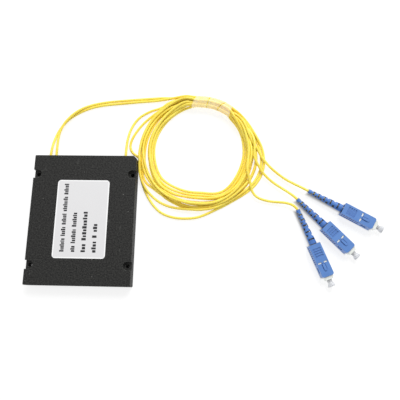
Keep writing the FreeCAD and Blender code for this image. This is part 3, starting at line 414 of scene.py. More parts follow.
# Drawn aluminium crimp ring: dull grey metal, seen only through the slots of the boot.
# Painted shade darkens it nearly to black inside the boot.
CRIMP = PlainFinish("drawn_aluminium", "8E8F92", "747578", 0.42, 2.0, 0.2, 0.2, 0.1,
                    metallic=1.0, painted_shade="0A0A0C", painted_shade_mm=1.8)
# Rolled stainless tube of the splitter package: brushed streaks.
PACKAGE = PlainFinish("rolled_stainless_tube", "C9C9C7", "A6A6A4", 0.3, 1.0, 0.2, 0.15,
                      metallic=1.0)
# Fused silica chip and blocks: glassy pale body.
GLASS_BLOCK = PlainFinish("ground_fused_silica", "DDE8E6", "C8D6D4", 0.15, 2.0, 0.2, 0.1, 0.05,
                          ior=1.46)
# Moulded rubber end plugs: dull near-black.
END_PLUG = PlainFinish("moulded_black_rubber", "2A2A2B", "1D1D1E", 0.7, 2.0, 0.3, 0.4, 0.1)
# Heat-shrink sleeves: satin black polyolefin.
SLEEVE = PlainFinish("shrunk_black_polyolefin", "2B2B2D", "1E1E20", 0.5, 3.0, 0.4, 0.5)
# Buffered fibre: thin white extruded nylon.
FIBRE = PlainFinish("extruded_white_nylon", "F2F1EC", "E6E4DE", 0.35, 3.0, 0.3, 0.1, 0.02)
# Toner print: near-black, slightly patchy and satin.
TONER = PlainFinish("fused_black_toner", "19191C", "26262B", 0.45, 0.7, 0.25, 0.2, 0.01)
# Moulded polyethylene dust cap: milky, and the ferrule shows through it faintly.
CAP = ClearFinish("moulded_milky_polyethylene", "EEEFF1", "DADCE0", 0.85, 0.24, 1.6, 0.5)
# Clear polypropylene tape over yellow leads: pale, warm and faintly hazy, with streaks along it.
# Its glow is painted light that brightens the tape.
TAPE = ClearFinish("clear_polypropylene_tape", "FFFFFF", "FFF3E6", 0.22, 0.22, 3.0, 0.4,
                   haze=0.3, glow=0.35)


@dataclass(frozen=True)
class PaintedShadow:
    """Patch of painted shadow under a piece: its middle, its heading in degrees and its half sizes.
    """

    middle: Pair
    heading: float
    halves: Pair


@dataclass(frozen=True)
class StudioPaper:
    """White paper lit through from below: evenly bright, with patches of painted shadow under
    pieces.
    """

    painted_shadows: tuple[PaintedShadow, ...]
    name: str = "white_studio_paper"
    base: str = "989898"
    roughness: float = 0.9
    glow: float = 0.76
    edge: float = 0.0012

    def make(self) -> Material:
        """Build the material.

        Returns:
            The material.
        """
        graph = Graph(self.name)
        add, free = graph.add, []
        # Painted shadows: the glow is cut out within each patch.
        for painted_shadow in self.painted_shadows:
            place, turn = (*painted_shadow.middle, 0.0), (0.0, 0.0, math.radians(painted_shadow.heading))
            patch = add("Mapping", {"vector_type": "TEXTURE", "Location": place, "Rotation": turn},
                        {"Vector": graph.point})
            free.append(graph.outside(patch, painted_shadow.halves, self.edge))
        glow = add("Math", {"operation": "MULTIPLY", 1: self.glow}, {0: free[0]})
        for other in free[1:]:
            glow = add("Math", {"operation": "MULTIPLY"}, {0: glow, 1: other})
        return graph.output(add(
            "BsdfPrincipled", {"Base Color": linear(self.base), "Roughness": self.roughness,
                               "Specular IOR Level": 0.2, "Emission Color": linear("FFFFFF")},
            {"Emission Strength": glow}))


# ---- pieces

def add_object(name: str, data: bpy.types.ID) -> Object:
    """Put new data in the scene as an object at the origin.

    Args:
        name: the object's name.
        data: its mesh, curve, camera or light.

    Returns:
        The object.
    """
    made = bpy.data.objects.new(name, data)
    bpy.context.scene.collection.objects.link(made)
    return made


def per_lead(stem: str) -> list[str]:
    """Names of a node that each lead has one of."""
    return [f"{stem}_{lead.value}" for lead in Lead]


def dress(finish: Material, *nodes: str) -> None:
    """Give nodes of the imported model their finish.

    Args:
        finish: the material.
        nodes: the nodes' names.
    """
    for node in nodes:
        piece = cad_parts[node]
        piece.data.materials.clear()
        piece.data.materials.append(finish)
        LOG.info("dressed %s with %s", node, finish.name)


def finished_piece(shape: BMesh, name: str, finish: Material, rides: bool = True,
                   smooth: bool = False) -> Object:
    """Turn a bmesh to a piece.

    Args:
        shape: the bmesh, which is freed.
        name: the piece's name.
        finish: its material.
        rides: whether it rides on the module.
        smooth: whether its faces are shaded smooth.

    Returns:
        The piece.
    """
    for face in shape.faces:
        face.smooth = smooth
    mesh = bpy.data.meshes.new(name)
    shape.to_mesh(mesh)
    shape.free()
    mesh.materials.append(finish)
    piece = add_object(name, mesh)
    if rides:
        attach(piece, Body.MODULE.value)
    LOG.info("built %s: %d faces", name, len(mesh.polygons))
    return piece


# ---- box

@dataclass
class Housing:
    """Tray and cover of the box."""

    nodes: tuple[str, ...] = ("base_tray", "top_cover")
    finish: TexturedAbs = field(default_factory=TexturedAbs)

    def build(self) -> None:
        """Dress the two shells."""
        dress(self.finish.make(), *self.nodes)


@dataclass
class LabelSheet:
    """The label and its print, which is rows of small blocks with no lettering in them.

    Sizes are in millimetres.  A row is its place across the label, the spacing of its blocks
    and how many blocks each of its words has.
    """

    rows: tuple[tuple[float, float, tuple[int, ...]], ...] = (
        (-13.0, 1.46, (7, 5, 6, 8, 6)), (-4.9, 1.58, (3, 7, 7)), (3.1, 2.24, (3, 10)),
        (11.1, 2.2, (4, 1, 3)))
    first_place: float = -24.6
    mark_tall: float = 3.4
    mark_wide: tuple[float, ...] = (0.82, 0.66, 0.86, 0.7, 0.82, 0.6)
    mark_short: tuple[float, ...] = (1.0, 0.74, 0.78, 1.0, 0.74, 0.92, 0.76)
    corner: float = 0.22
    ink: float = 0.02

    def build(self) -> Object:
        """Dress the label and lay the print on it.

        Returns:
            The print.
        """
        dress(LabelStock().make(), "label")
        shape = bmesh.new()
        count = 0
        for across, pitch, words in self.rows:
            place = self.first_place
            for word in words:
                for _ in range(word):
                    self.block(shape, across, place, pitch, count)
                    place += pitch
                    count += 1
                place += pitch
        upright = [edge for edge in shape.edges
                   if abs(edge.verts[0].co.z - edge.verts[1].co.z) > self.ink * MM / 2]
        bmesh.ops.bevel(shape, geom=upright, offset=self.corner * MM, segments=2, profile=0.5,
                        affect="EDGES", material=-1)
        return finished_piece(shape, "label_print", TONER.make())

    def block(self, shape: BMesh, across: float, along: float, pitch: float, count: int) -> None:
        """Add one block.

        Args:
            shape: the bmesh that takes it.
            across: place of the row's middle in millimetres.
            along: place of the block's middle in the row, in millimetres.
            pitch: spacing of the row's blocks in millimetres.
            count: number of the block, which sets its size.
        """
        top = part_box("label")[1][2]
        wide = self.mark_wide[count % len(self.mark_wide)] * pitch * MM
        tall = self.mark_tall * self.mark_short[count % len(self.mark_short)] * MM
        middle = across * MM + self.mark_tall * MM / 2 - tall / 2
        made = bmesh.ops.create_cube(shape, size=1.0)["verts"]
        bmesh.ops.scale(shape, vec=(tall, wide, self.ink * MM), verts=made)
        bmesh.ops.translate(shape, vec=(middle, along * MM, top + self.ink * MM / 2), verts=made)


@dataclass
class SplitterCore:
    """What the box holds: the package, its chip, the fibres and the leads' anchor sleeves."""

    finishes: tuple[tuple[PlainFinish, tuple[str, ...]], ...] = (
        (PACKAGE, ("package_tube",)),
        (GLASS_BLOCK, ("splitter_chip", "input_fibre_block", "output_fibre_block")),
        (END_PLUG, ("input_end_plug", "output_end_plug")),
        (FIBRE, tuple(per_lead("fibre"))),
        (SLEEVE, tuple(per_lead("anchor_sleeve"))))

    def build(self) -> None:
        """Dress the inner pieces."""
        for finish, nodes in self.finishes:
            dress(finish.make(), *nodes)


# ---- plugs

@dataclass
class PlugFinishes:
    """Materials that the three plugs share, each made once."""

    finishes: dict[str, PlainFinish | ClearFinish] = field(default_factory=lambda: {
        "grip": GRIP, "boot": BOOT, "plug_frame": PLUG_FRAME, "ferrule": FERRULE,
        "rear_body": REAR_BODY, "crimp_ring": CRIMP, "dust_cap": CAP})

    def build(self) -> None:
        """Dress every piece of the plugs."""
        for stem, finish in self.finishes.items():
            dress(finish.make(), *per_lead(stem))


@dataclass
class PlugPlace:
    """Where a plug lies, in metres and degrees, and how its lead runs on inside the boot.

    The lead's points are so far behind the plug, and by turns to one side of the axis and the
    other within a slight play.
    """

    x: float
    y: float
    heading: float
    inside: tuple[float, ...] = (0.0338, 0.0240, 0.0150, 0.0070)
    height: float = 0.0037
    play: float = 0.00003

    def at(self, along: float, side: float = 0.0) -> Pair:
        """Give a place beside the plug's axis, in plan.

        Args:
            along: how far forwards it is.
            side: how far to the left of the axis it is.

        Returns:
            The place's X and Y.
        """
        turn = math.radians(self.heading)
        return (self.x + along * math.cos(turn) - side * math.sin(turn),
                self.y + along * math.sin(turn) + side * math.cos(turn))

    def boot_points(self) -> Route:
        """Points of the lead inside the boot, in order towards the plug."""
        return [(*self.at(-back, self.play if index % 2 else -self.play), self.height)
                for index, back in enumerate(self.inside)]

    def painted_shadow(self, first: float, last: float, half_width: float) -> PaintedShadow:
        """Give the painted shadow on the paper under a stretch of the plug.

        Args:
            first: where the stretch starts along the plug.
            last: where it ends.
            half_width: its half width.

        Returns:
            The patch of painted shadow.
        """
        return PaintedShadow(self.at((first + last) / 2), self.heading, ((last - first) / 2, half_width))


PLUGS = {
    Lead.INPUT: PlugPlace(0.1974, 0.0113, -28.6),
    Lead.OUTPUT_1: PlugPlace(0.1838, -0.0019, -45.2),
    Lead.OUTPUT_2: PlugPlace(0.1747, -0.0162, -67.5, (0.0316, 0.0226, 0.0146, 0.0070)),
}


@dataclass
class PlugSprings:
    """Coil spring of each plug: it rests on the rear body, and the ferrule presses its front.

    Sizes are in millimetres.
    """

    rear: float = 8.0
    front: float = 14.5
    radius: float = 2.1
    wire: float = 0.5
    coils: int = 5
    steps: int = 24
    sides: int = 12

    def build(self) -> None:
        """Wind the three springs."""
        finish = SPRING.make()
        for lead, place in PLUGS.items():
            plug = (Matrix.Translation((place.x, place.y, place.height))
                    @ Matrix.Rotation(math.radians(place.heading), 4, "Z")
                    @ Matrix.Rotation(math.pi / 2, 4, "Y"))
            shape = self.coil()
            bmesh.ops.transform(shape, matrix=plug, verts=shape.verts)
            piece = finished_piece(shape, f"plug_spring_{lead.value}", finish,
                                   rides=False, smooth=True)
            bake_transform(piece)
            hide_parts(f"spring_{lead.value}")

    def coil(self) -> BMesh:
        """Wind one spring along Z.

        Returns:
            The shape.
        """
        shape = bmesh.new()
        first = Matrix.Translation((self.radius * MM, 0, (self.rear + self.wire / 2) * MM))
        bmesh.ops.create_circle(shape, segments=self.sides, radius=self.wire / 2 * MM,
                                matrix=first @ Matrix.Rotation(math.pi / 2, 4, "X"))
        parts = self.coils * self.steps
        rise = (self.front - self.rear - self.wire) * MM / parts
        bmesh.ops.spin(shape, geom=shape.verts[:] + shape.edges[:], cent=(0, 0, 0), axis=(0, 0, 1),
                       dvec=(0, 0, rise), angle=2 * math.pi * self.coils, steps=parts)
        bmesh.ops.holes_fill(shape, edges=[edge for edge in shape.edges if edge.is_boundary])
        bmesh.ops.recalc_face_normals(shape, faces=shape.faces)
        return shape


# ---- leads

@dataclass
class LeadPlan:
    """One lead, as given: its points outside the coil in metres, and how it runs in the coil.

    In the coil a place is an angle round the coil's centre in degrees, counted down because the
    lead runs clockwise, and a radius in millimetres.
    """

    lead: Lead
    start: Route
    joining: list[Pair]
    turns: list[str]
    leaving: list[Pair]
    finish: Route


# Lanes round the coil: radii in millimetres at angles in degrees.  Lanes that keep together
# share their angles.
EVENLY = (45, 20, 0, -15, -30, -45, -60, -75, -90, -105, -120, -135, -150, -165, -180, -200, -220,
          -240, -255)
INWARDS = (45, 20, 0, -15, -30, -45, -60, -68, -75, -85, -95, -105, -115, -130, -140, -150, -165,
           -180, -210, -235, -255)
LANES: dict[str, dict[float, float]] = {
    "sweep": {45: 42.6, 20: 44.6, 0: 50.0, -15: 52.0, -30: 51.6, -45: 49.6, -60: 48.2, -72: 49.2,
        -80: 51.0, -90: 53.8, -100: 55.7, -110: 57.4, -120: 57.9, -128: 56.4, -142: 52.9,
        -152: 50.5, -160: 48.8, -170: 47.9, -180: 46.9, -200: 45.9, -220: 45.3, -240: 45.0,
        -255: 44.6},
    "second": {45: 42.3, 20: 44.4, 0: 48.8, -15: 51.6, -30: 51.4, -45: 48.8, -60: 47.6, -75: 48.0,
        -90: 48.0, -98: 48.2, -105: 49.0, -115: 50.6, -125: 51.7, -135: 51.9, -145: 51.7,
        -152: 50.7, -160: 49.3, -170: 48.0, -180: 46.6, -200: 45.0, -220: 44.2, -240: 44.0,
        -255: 43.6},
    "third": {45: 41.2, 20: 42.6, 0: 44.9, -15: 46.4, -30: 46.7, -45: 46.6, -60: 46.6, -75: 47.4,
        -90: 47.9, -102: 47.4, -110: 46.4, -125: 45.3, -140: 45.6, -160: 46.0, -180: 44.9,
        -200: 43.9, -220: 43.4, -240: 43.2, -255: 42.6},
    "fourth": {45: 41.6, 20: 43.8, 0: 44.6, -15: 46.2, -30: 46.3, -45: 45.6, -60: 46.0, -75: 46.2,
        -90: 46.4, -105: 45.8, -120: 45.0, -140: 44.6, -160: 45.0, -180: 44.2, -200: 43.5,
        -220: 43.0, -240: 42.6, -255: 41.8},
    "loose": {45: 40.4, 20: 41.2, 0: 41.9, -15: 41.6, -30: 42.6, -45: 43.8, -60: 44.4, -75: 44.0,
        -90: 43.2, -105: 43.0, -115: 44.0, -130: 45.8, -139.1: 47.0, -145.8: 48.95, -151.6: 49.4,
        -157: 48.4, -162.6: 46.4, -167.2: 46.05, -171: 46.7, -173.4: 48.6, -175.6: 51.1,
        -178.4: 53.5, -181.5: 54.8, -185: 55.2, -189.3: 54.6, -197.1: 52.8, -205.7: 50.7,
        -216.2: 48.3, -223.1: 47.1, -240: 44.5, -255: 43.4},
    "mid_a": dict(zip(EVENLY, (40.6, 41.4, 41.6, 41.2, 42.6, 43.8, 45.0, 44.4, 43.4, 43.0, 42.6,
        42.0, 40.8, 39.8, 39.6, 39.4, 39.4, 39.8, 40.4))),
    "mid_b": dict(zip(EVENLY, (40.2, 40.6, 40.9, 40.4, 41.4, 42.6, 44.0, 44.2, 43.6, 43.2, 43.2,
        42.6, 41.0, 39.4, 38.8, 38.5, 38.5, 39.2, 40.0))),
    "cross_a": dict(zip(EVENLY, (38.6, 38.6, 40.6, 39.2, 39.8, 41.4, 41.8, 40.0, 38.6, 38.8, 40.2,
        41.2, 39.6, 38.2, 37.8, 37.6, 37.7, 38.4, 39.2))),
    "cross_b": dict(zip(EVENLY, (38.9, 39.4, 41.2, 39.8, 40.6, 42.2, 42.4, 40.4, 38.8, 39.2, 41.0,
        41.8, 40.2, 39.0, 38.6, 38.3, 38.4, 39.0, 39.7))),
    "top_c": dict(zip(EVENLY, (39.6, 40.2, 41.3, 41.4, 42.0, 43.2, 44.6, 44.6, 43.8, 43.8, 44.2,
        44.2, 44.0, 44.2, 44.3, 43.8, 43.2, 42.4, 41.4))),
    "inside_a": dict(zip(INWARDS, (37.2, 37.0, 37.0, 37.2, 37.9, 38.9, 39.9, 38.6, 36.6, 34.6,
        34.3, 34.5, 34.8, 36.0, 36.9, 36.7, 36.0, 35.9, 35.8, 36.6, 37.6))),
    "inside_b": dict(zip(INWARDS, (37.9, 37.9, 37.4, 38.6, 39.4, 40.4, 41.4, 40.2, 38.4, 36.5,
        36.3, 36.6, 37.2, 38.6, 39.1, 38.7, 38.0, 37.8, 37.6, 38.2, 39.0))),
}
# Layer that each lane starts in, counted up from the floor.
LEVELS = {"sweep": 0, "second": 1, "third": 0, "fourth": 1, "loose": 0, "mid_a": 0, "mid_b": 1,
          "cross_a": 0, "cross_b": 1, "top_c": 2, "inside_a": 0, "inside_b": 0}

PLANS = [
    LeadPlan(Lead.OUTPUT_1,
             [(-0.0300, 0.0414, 0.0050), (-0.0300, 0.0545, 0.0050), (-0.0290, 0.0645, 0.0028),
              (-0.0263, 0.0738, 0.0013), (-0.0205, 0.0828, 0.0011), (-0.0115, 0.0892, 0.0011),
              (-0.0010, 0.0939, 0.0011), (0.0105, 0.0962, 0.0011), (0.0240, 0.0974, 0.0011),
              (0.0390, 0.0989, 0.0011)],
             [(129.3, 54.9), (119.5, 49.5), (112, 46.8), (104, 45.2)],
             ["sweep", "mid_a", "mid_b", "inside_a"],
             [(38, 41.4), (20, 42.6), (2, 43.4), (-8, 43.8),
              (-13, 46.5), (-17, 50.0), (-20.5, 54.0)],
             [(0.1456, 0.0314, 0.0020)]),
    LeadPlan(Lead.OUTPUT_2,
             [(-0.0253, 0.0414, 0.0050), (-0.0253, 0.0550, 0.0050), (-0.0254, 0.0640, 0.0046),
              (-0.0246, 0.0725, 0.0043), (-0.0206, 0.0815, 0.0035), (-0.0125, 0.0900, 0.0030),
              (-0.0025, 0.0956, 0.0016), (0.0110, 0.0986, 0.0011), (0.0240, 0.0998, 0.0011),
              (0.0390, 0.1011, 0.0011)],
             [(127.9, 56.3), (118.5, 50.7), (111, 47.6), (104, 45.5)],
             ["second", "cross_a", "fourth", "inside_b"],
             [(38, 39.8), (20, 39.4), (0, 39.6), (-15, 40.0), (-25, 42.0), (-30, 45.5), (-35, 49.7),
              (-38.5, 53.5)],
             [(0.1332, 0.0191, 0.0028), (0.1435, 0.0164, 0.0018), (0.1550, 0.0160, 0.0027)]),
    LeadPlan(Lead.INPUT,
             [(0.0300, 0.0414, 0.0050), (0.0300, 0.0540, 0.0050), (0.0304, 0.0665, 0.0032),
              (0.0330, 0.0770, 0.0016), (0.0385, 0.0856, 0.0011)],
             [(140.2, 52.0), (133.3, 48.2), (127, 46.2), (116, 44.8), (104, 43.6)],
             ["third", "loose", "top_c", "cross_b"],
             [(38, 40.8), (22, 41.0), (11, 41.6), (4, 44.2), (0, 46.3), (-3, 47.6), (-8, 51.2)],
             [(0.1445, 0.0425, 0.0028), (0.1555, 0.0340, 0.0019)]),
]


@dataclass
class CoilShape:
    """Middle of the coil, and the stretch where tape ties it, in millimetres and degrees."""

    centre: Pair = (87.5, 57.5)
    wrap_radius: float = 40.2
    wrap_first: float = 48.0
    wrap_last: float = 101.0
    tied: tuple[float, ...] = (92.0, 80.0, 68.0, 55.0)
    diameter: float = 2.0
    lowest: float = 1.4
    row_counts: tuple[int, ...] = (3, 4, 3, 4, 1)

    def seats(self) -> list[Pair]:
        """Stack the strands under the tape in rows.

        Returns:
            The seat of each: its offset from the tied radius, and its height.
        """
        rise = self.diameter * math.sqrt(3) / 2
        return [(self.diameter * (place - (count - 1) / 2), self.lowest + row * rise)
                for row, count in enumerate(self.row_counts) for place in range(count)]


@dataclass
class LaidCoil:
    """Lays the leads down: each keeps near its plan, falls, and rests on what it crosses.

    Sizes are in millimetres, angles in degrees and moves per round.
    """

    shape: CoilShape
    plans: list[LeadPlan]
    # What stands in the way: the floor, and the box's side wall as far as its rear end.
    floor: float = 1.1
    box_wall: float = 41.15
    box_end: float = 51.3
    # First heights: a strand climbs from its seat to its level within some degrees of the tape.
    base_height: float = 1.3
    level_rise: float = 1.8
    last_level: float = 3.0
    climb: float = 14.0
    # The solver's rounds, and how often it looks for neighbours and parts them.
    step: float = 3.6
    rounds: int = 360
    look_every: int = 8
    partings: int = 3
    # How strongly a strand keeps to its plan: least beside the tape, full past the rolling angle.
    pull: float = 0.1
    least_pull: float = 0.25
    rolling: float = 80.0
    # Falling, which slows for the last rounds, and the lead's stiffness.
    fall: float = 0.06
    slow_from: float = 0.7
    slowing: float = 3.0
    stiffness: float = 0.4
    # Parting of strands that touch.
    near: Place = (6.5, 6.5, 5.0)
    own_pieces: int = 6
    spacing: float = 1.02
    upward: float = 1.2
    eagerness: float = 1.25
    least_weight: float = 0.6

    def seat_for_each_pass(self) -> dict[tuple[Lead, int], Pair]:
        """Share the seats out, so that each strand comes in and leaves at about its own radius.

        Returns:
            The seat of each lead's passes under the tape, by lead and number.
        """
        wanted = []
        for order, plan in enumerate(self.plans):
            lanes = [list(LANES[name].values()) for name in plan.turns]
            before = [plan.joining[-1][1]] + [lane[-1] for lane in lanes]
            after = [lane[0] for lane in lanes] + [plan.leaving[0][1]]
            wanted += [((one + other) / 2, order, turn, plan.lead)
                       for turn, (one, other) in enumerate(zip(before, after))]
        wanted.sort(key=lambda want: want[:3])
        seats = sorted(self.shape.seats())
        return {(lead, turn): seat for (_, _, turn, lead), seat in zip(wanted, seats)}

    def plan_line(self, plan: LeadPlan, seats: dict) -> tuple[np.ndarray, np.ndarray, np.ndarray]:
        """First line of one lead in the coil, before it settles.

        Args:
            plan: the lead's plan.
            seats: seat of each pass under the tape.

        Returns:
            Points, a mask of those that the tape holds, and how strongly each keeps to its plan.
        """
        shape = self.shape
        count = len(plan.turns)
        knots = list(plan.joining)
        for turn in range(count + 1):
            offset = seats[(plan.lead, turn)][0]
            knots += [(angle - 360 * turn, shape.wrap_radius + offset) for angle in shape.tied]
            lane = LANES[plan.turns[turn]].items() if turn < count else plan.leaving
            knots += [(angle - 360 * turn, radius) for angle, radius in lane]
        angles, radii = smooth_line(knots, self.step)
        around = np.radians(angles)
        plane = np.column_stack([shape.centre[0] + radii * np.cos(around),
                                 shape.centre[1] + radii * np.sin(around)])
        covered = shape.wrap_last - shape.wrap_first
        past = (angles - shape.wrap_first) % 360
        held = past <= covered
        away = np.minimum(past - covered, 360 - past)
        behind = ((shape.tied[0] + shape.tied[-1]) / 2 - angles) / 360
        passes = np.clip(np.round(behind), 0, count).astype(int)
        seat_height = np.array([seats[(plan.lead, int(turn))][1] for turn in passes])
        levels = np.array([0.0, *[LEVELS[name] for name in plan.turns], self.last_level])
        level = levels[np.clip(np.floor(behind) + 1, 0, count + 1).astype(int)]
        share = np.where(held, 0.0, np.clip(away / self.climb, 0, 1))
        height = seat_height * (1 - share) + (self.base_height + self.level_rise * level) * share
        pull = self.pull * np.clip(away / self.rolling, self.least_pull, 1.0)
        return np.column_stack([plane, height]), held, pull

    def lay(self) -> dict[Lead, np.ndarray]:
        """Let the planned runs settle.

        Returns:
            Points of each lead's run in the coil, in metres.
        """
        seats = self.seat_for_each_pass()
        lines = [self.plan_line(plan, seats) for plan in self.plans]
        points, held, pull = (np.concatenate(parts) for parts in zip(*lines))
        pull = pull[:, None]
        owner = np.repeat(np.arange(len(lines)), [len(line[0]) for line in lines])
        planned = points.copy()
        starts = np.flatnonzero(owner[:-1] == owner[1:])
        inner = np.zeros(len(points), bool)
        inner[1:-1] = (owner[:-2] == owner[1:-1]) & (owner[2:] == owner[1:-1])
        free = ~held
        moving = inner & free
        for count in range(self.rounds):
            if count % self.look_every == 0:
                first, second = self.neighbours(points, starts, owner)
            slow = count >= self.slow_from * self.rounds
            points[free, 2] -= self.fall / self.slowing if slow else self.fall
            points[free, :2] += (planned[free, :2] - points[free, :2]) * pull[free]
            drift = points - planned
            drift[:, 2] = points[:, 2]
            mean = drift.copy()
            mean[1:-1] = (drift[:-2] + drift[2:]) / 2
            points[moving] += self.stiffness * (mean[moving] - drift[moving])
            for _ in range(self.partings):
                self.part(points, first, second, free)
                points[free, 2] = np.maximum(points[free, 2], self.floor)
                wall = (points[:, 1] < self.box_end) & (points[:, 0] < self.box_wall) & free
                points[wall, 0] = self.box_wall
        return {plan.lead: points[owner == index] * MM for index, plan in enumerate(self.plans)}

    def neighbours(self, points: np.ndarray, starts: np.ndarray,
                   owner: np.ndarray) -> tuple[np.ndarray, np.ndarray]:
        """Find the pairs of short pieces that may touch.

        Args:
            points: all points.
            starts: number of each piece's first point.
            owner: number of the lead that each point is on.

        Returns:
            Numbers of the first points of one piece of each pair, and of the other.
        """
        middle = (points[starts] + points[starts + 1]) / 2
        near = (np.abs(middle[:, None] - middle[None]) < self.near).all(axis=2)
        same = owner[starts][:, None] == owner[starts][None]
        close = np.abs(starts[:, None] - starts[None]) <= self.own_pieces
        rows, columns = np.nonzero(np.triu(near & ~(same & close), 1))
        return starts[rows], starts[columns]

    def part(self, points: np.ndarray, first: np.ndarray, second: np.ndarray,
             free: np.ndarray) -> None:
        """Push touching pieces a diameter apart, more upwards than sideways.

        Args:
            points: all points, moved in place.
            first: first point of one piece of each pair.
            second: first point of the other piece.
            free: mask of the points that may move.
        """
        parallel, touching = 1e-9, 1e-4
        reach = self.shape.diameter * self.spacing
        start_a, start_b = points[first], points[second]
        along_a, along_b = points[first + 1] - start_a, points[second + 1] - start_b
        between = start_a - start_b
        aa, bb, ab, a_r, b_r = ((one * other).sum(1) for one, other in (
            (along_a, along_a), (along_b, along_b), (along_a, along_b), (along_a, between),
            (along_b, between)))
        spread = aa * bb - ab ** 2
        at_a = np.clip((ab * b_r - a_r * bb) / np.maximum(spread, parallel), 0, 1)
        at_a = np.where(spread > parallel, at_a, 0.5)
        at_b = (ab * at_a + b_r) / bb
        kept = np.clip(at_b, 0, 1)
        at_a = np.where(at_b != kept, np.clip((ab * kept - a_r) / aa, 0, 1), at_a)
        apart = (start_a + along_a * at_a[:, None]) - (start_b + along_b * kept[:, None])
        distance = np.linalg.norm(apart, axis=1)
        hit = distance < reach
        if not hit.any():
            return
        way = apart[hit] * np.array([1.0, 1.0, self.upward])
        long = np.linalg.norm(way, axis=1)[:, None]
        way = np.where(long > touching, way / np.maximum(long, touching), np.array([0.0, 0.0, 1.0]))
        push = way * (reach - distance[hit][:, None]) / 2
        moved = np.zeros_like(points)
        weight = np.zeros(len(points))
        a_share, b_share = at_a[hit][:, None], kept[hit][:, None]
        one, other = first[hit], second[hit]
        for index, share, sign in ((one, 1 - a_share, 1), (one + 1, a_share, 1),
                                   (other, 1 - b_share, -1), (other + 1, b_share, -1)):
            np.add.at(moved, index, sign * push * share)
            np.add.at(weight, index, share[:, 0])
        mask = (weight > 0) & free
        total = np.maximum(weight[mask], self.least_weight)[:, None]
        points[mask] += moved[mask] / total * self.eagerness


def smooth_line(knots: list[Pair], step: float) -> tuple[np.ndarray, np.ndarray]:
    """Even places on a smooth curve through given knots of angle and radius.

    Args:
        knots: angle in degrees and radius of each knot.
        step: spacing along the curve.

    Returns:
        Angles and radii.
    """
    angles, radii = np.array(knots, float).T
    hops = np.hypot(np.radians(np.diff(angles)) * (radii[1:] + radii[:-1]) / 2, np.diff(radii))
    travel = np.concatenate([[0.0], np.cumsum(hops)])
    places = np.linspace(0, travel[-1], int(round(travel[-1] / step)) + 1)
    cell = np.clip(np.searchsorted(travel, places, side="right") - 1, 0, len(travel) - 2)
    width = hops[cell]
    t = (places - travel[cell]) / width
    samples = []
    for values in (angles, radii):
        slope = np.gradient(values, travel)
        samples.append((2 * t ** 3 - 3 * t ** 2 + 1) * values[cell]
                       + (t ** 3 - 2 * t ** 2 + t) * width * slope[cell]
                       + (3 * t ** 2 - 2 * t ** 3) * values[cell + 1]
                       + (t ** 3 - t ** 2) * width * slope[cell + 1])
    return samples[0], samples[1]


@dataclass
class Leads:
    """The three leads, each one smooth curve from the box to its plug."""

    coil: CoilShape
    length: float = 1.4

    def build(self) -> dict[Lead, Object]:
        """Lay the coil and make one curve for each lead.

        Returns:
            The curve of each lead.
        """
        finish = LEAD_JACKET.make()
        runs = LaidCoil(self.coil, PLANS).lay()
        return {plan.lead: self.curve(plan.lead, finish,
                                      [*plan.start, *[tuple(point) for point in runs[plan.lead]],
                                       *plan.finish, *PLUGS[plan.lead].boot_points()])
                for plan in PLANS}

    def curve(self, lead: Lead, finish: Material, route: Route) -> Object:
        """Args:
            lead: which lead it is.
            finish: its material.
            route: control points in metres.

        Returns:
            The curve object.
        """
        name = f"lead_{lead.value}_line"
        data = bpy.data.curves.new(name, "CURVE")
        data.dimensions = "3D"
        spline = data.splines.new("NURBS")
        spline.points.add(len(route) - 1)
        for point, place in zip(spline.points, route):
            point.co = (*place, 1.0)
        spline.order_u = 3
        spline.use_endpoint_u = True
        spline.resolution_u = 3
        data.bevel_depth = self.coil.diameter / 2 * MM
        data.bevel_resolution = 3
        data.use_fill_caps = True
        data.materials.append(finish)
        piece = add_object(name, data)
        nodes = [f"lead_in_{lead.value}", f"lead_out_{lead.value}", "lead_coil"]
        if lead is Lead.INPUT:
            nodes.append("lead_loose_turn")
        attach(piece, Body.MODULE.value)
        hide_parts(*nodes)
        LOG.info("laid %s: %d points", name, len(route))
        return piece


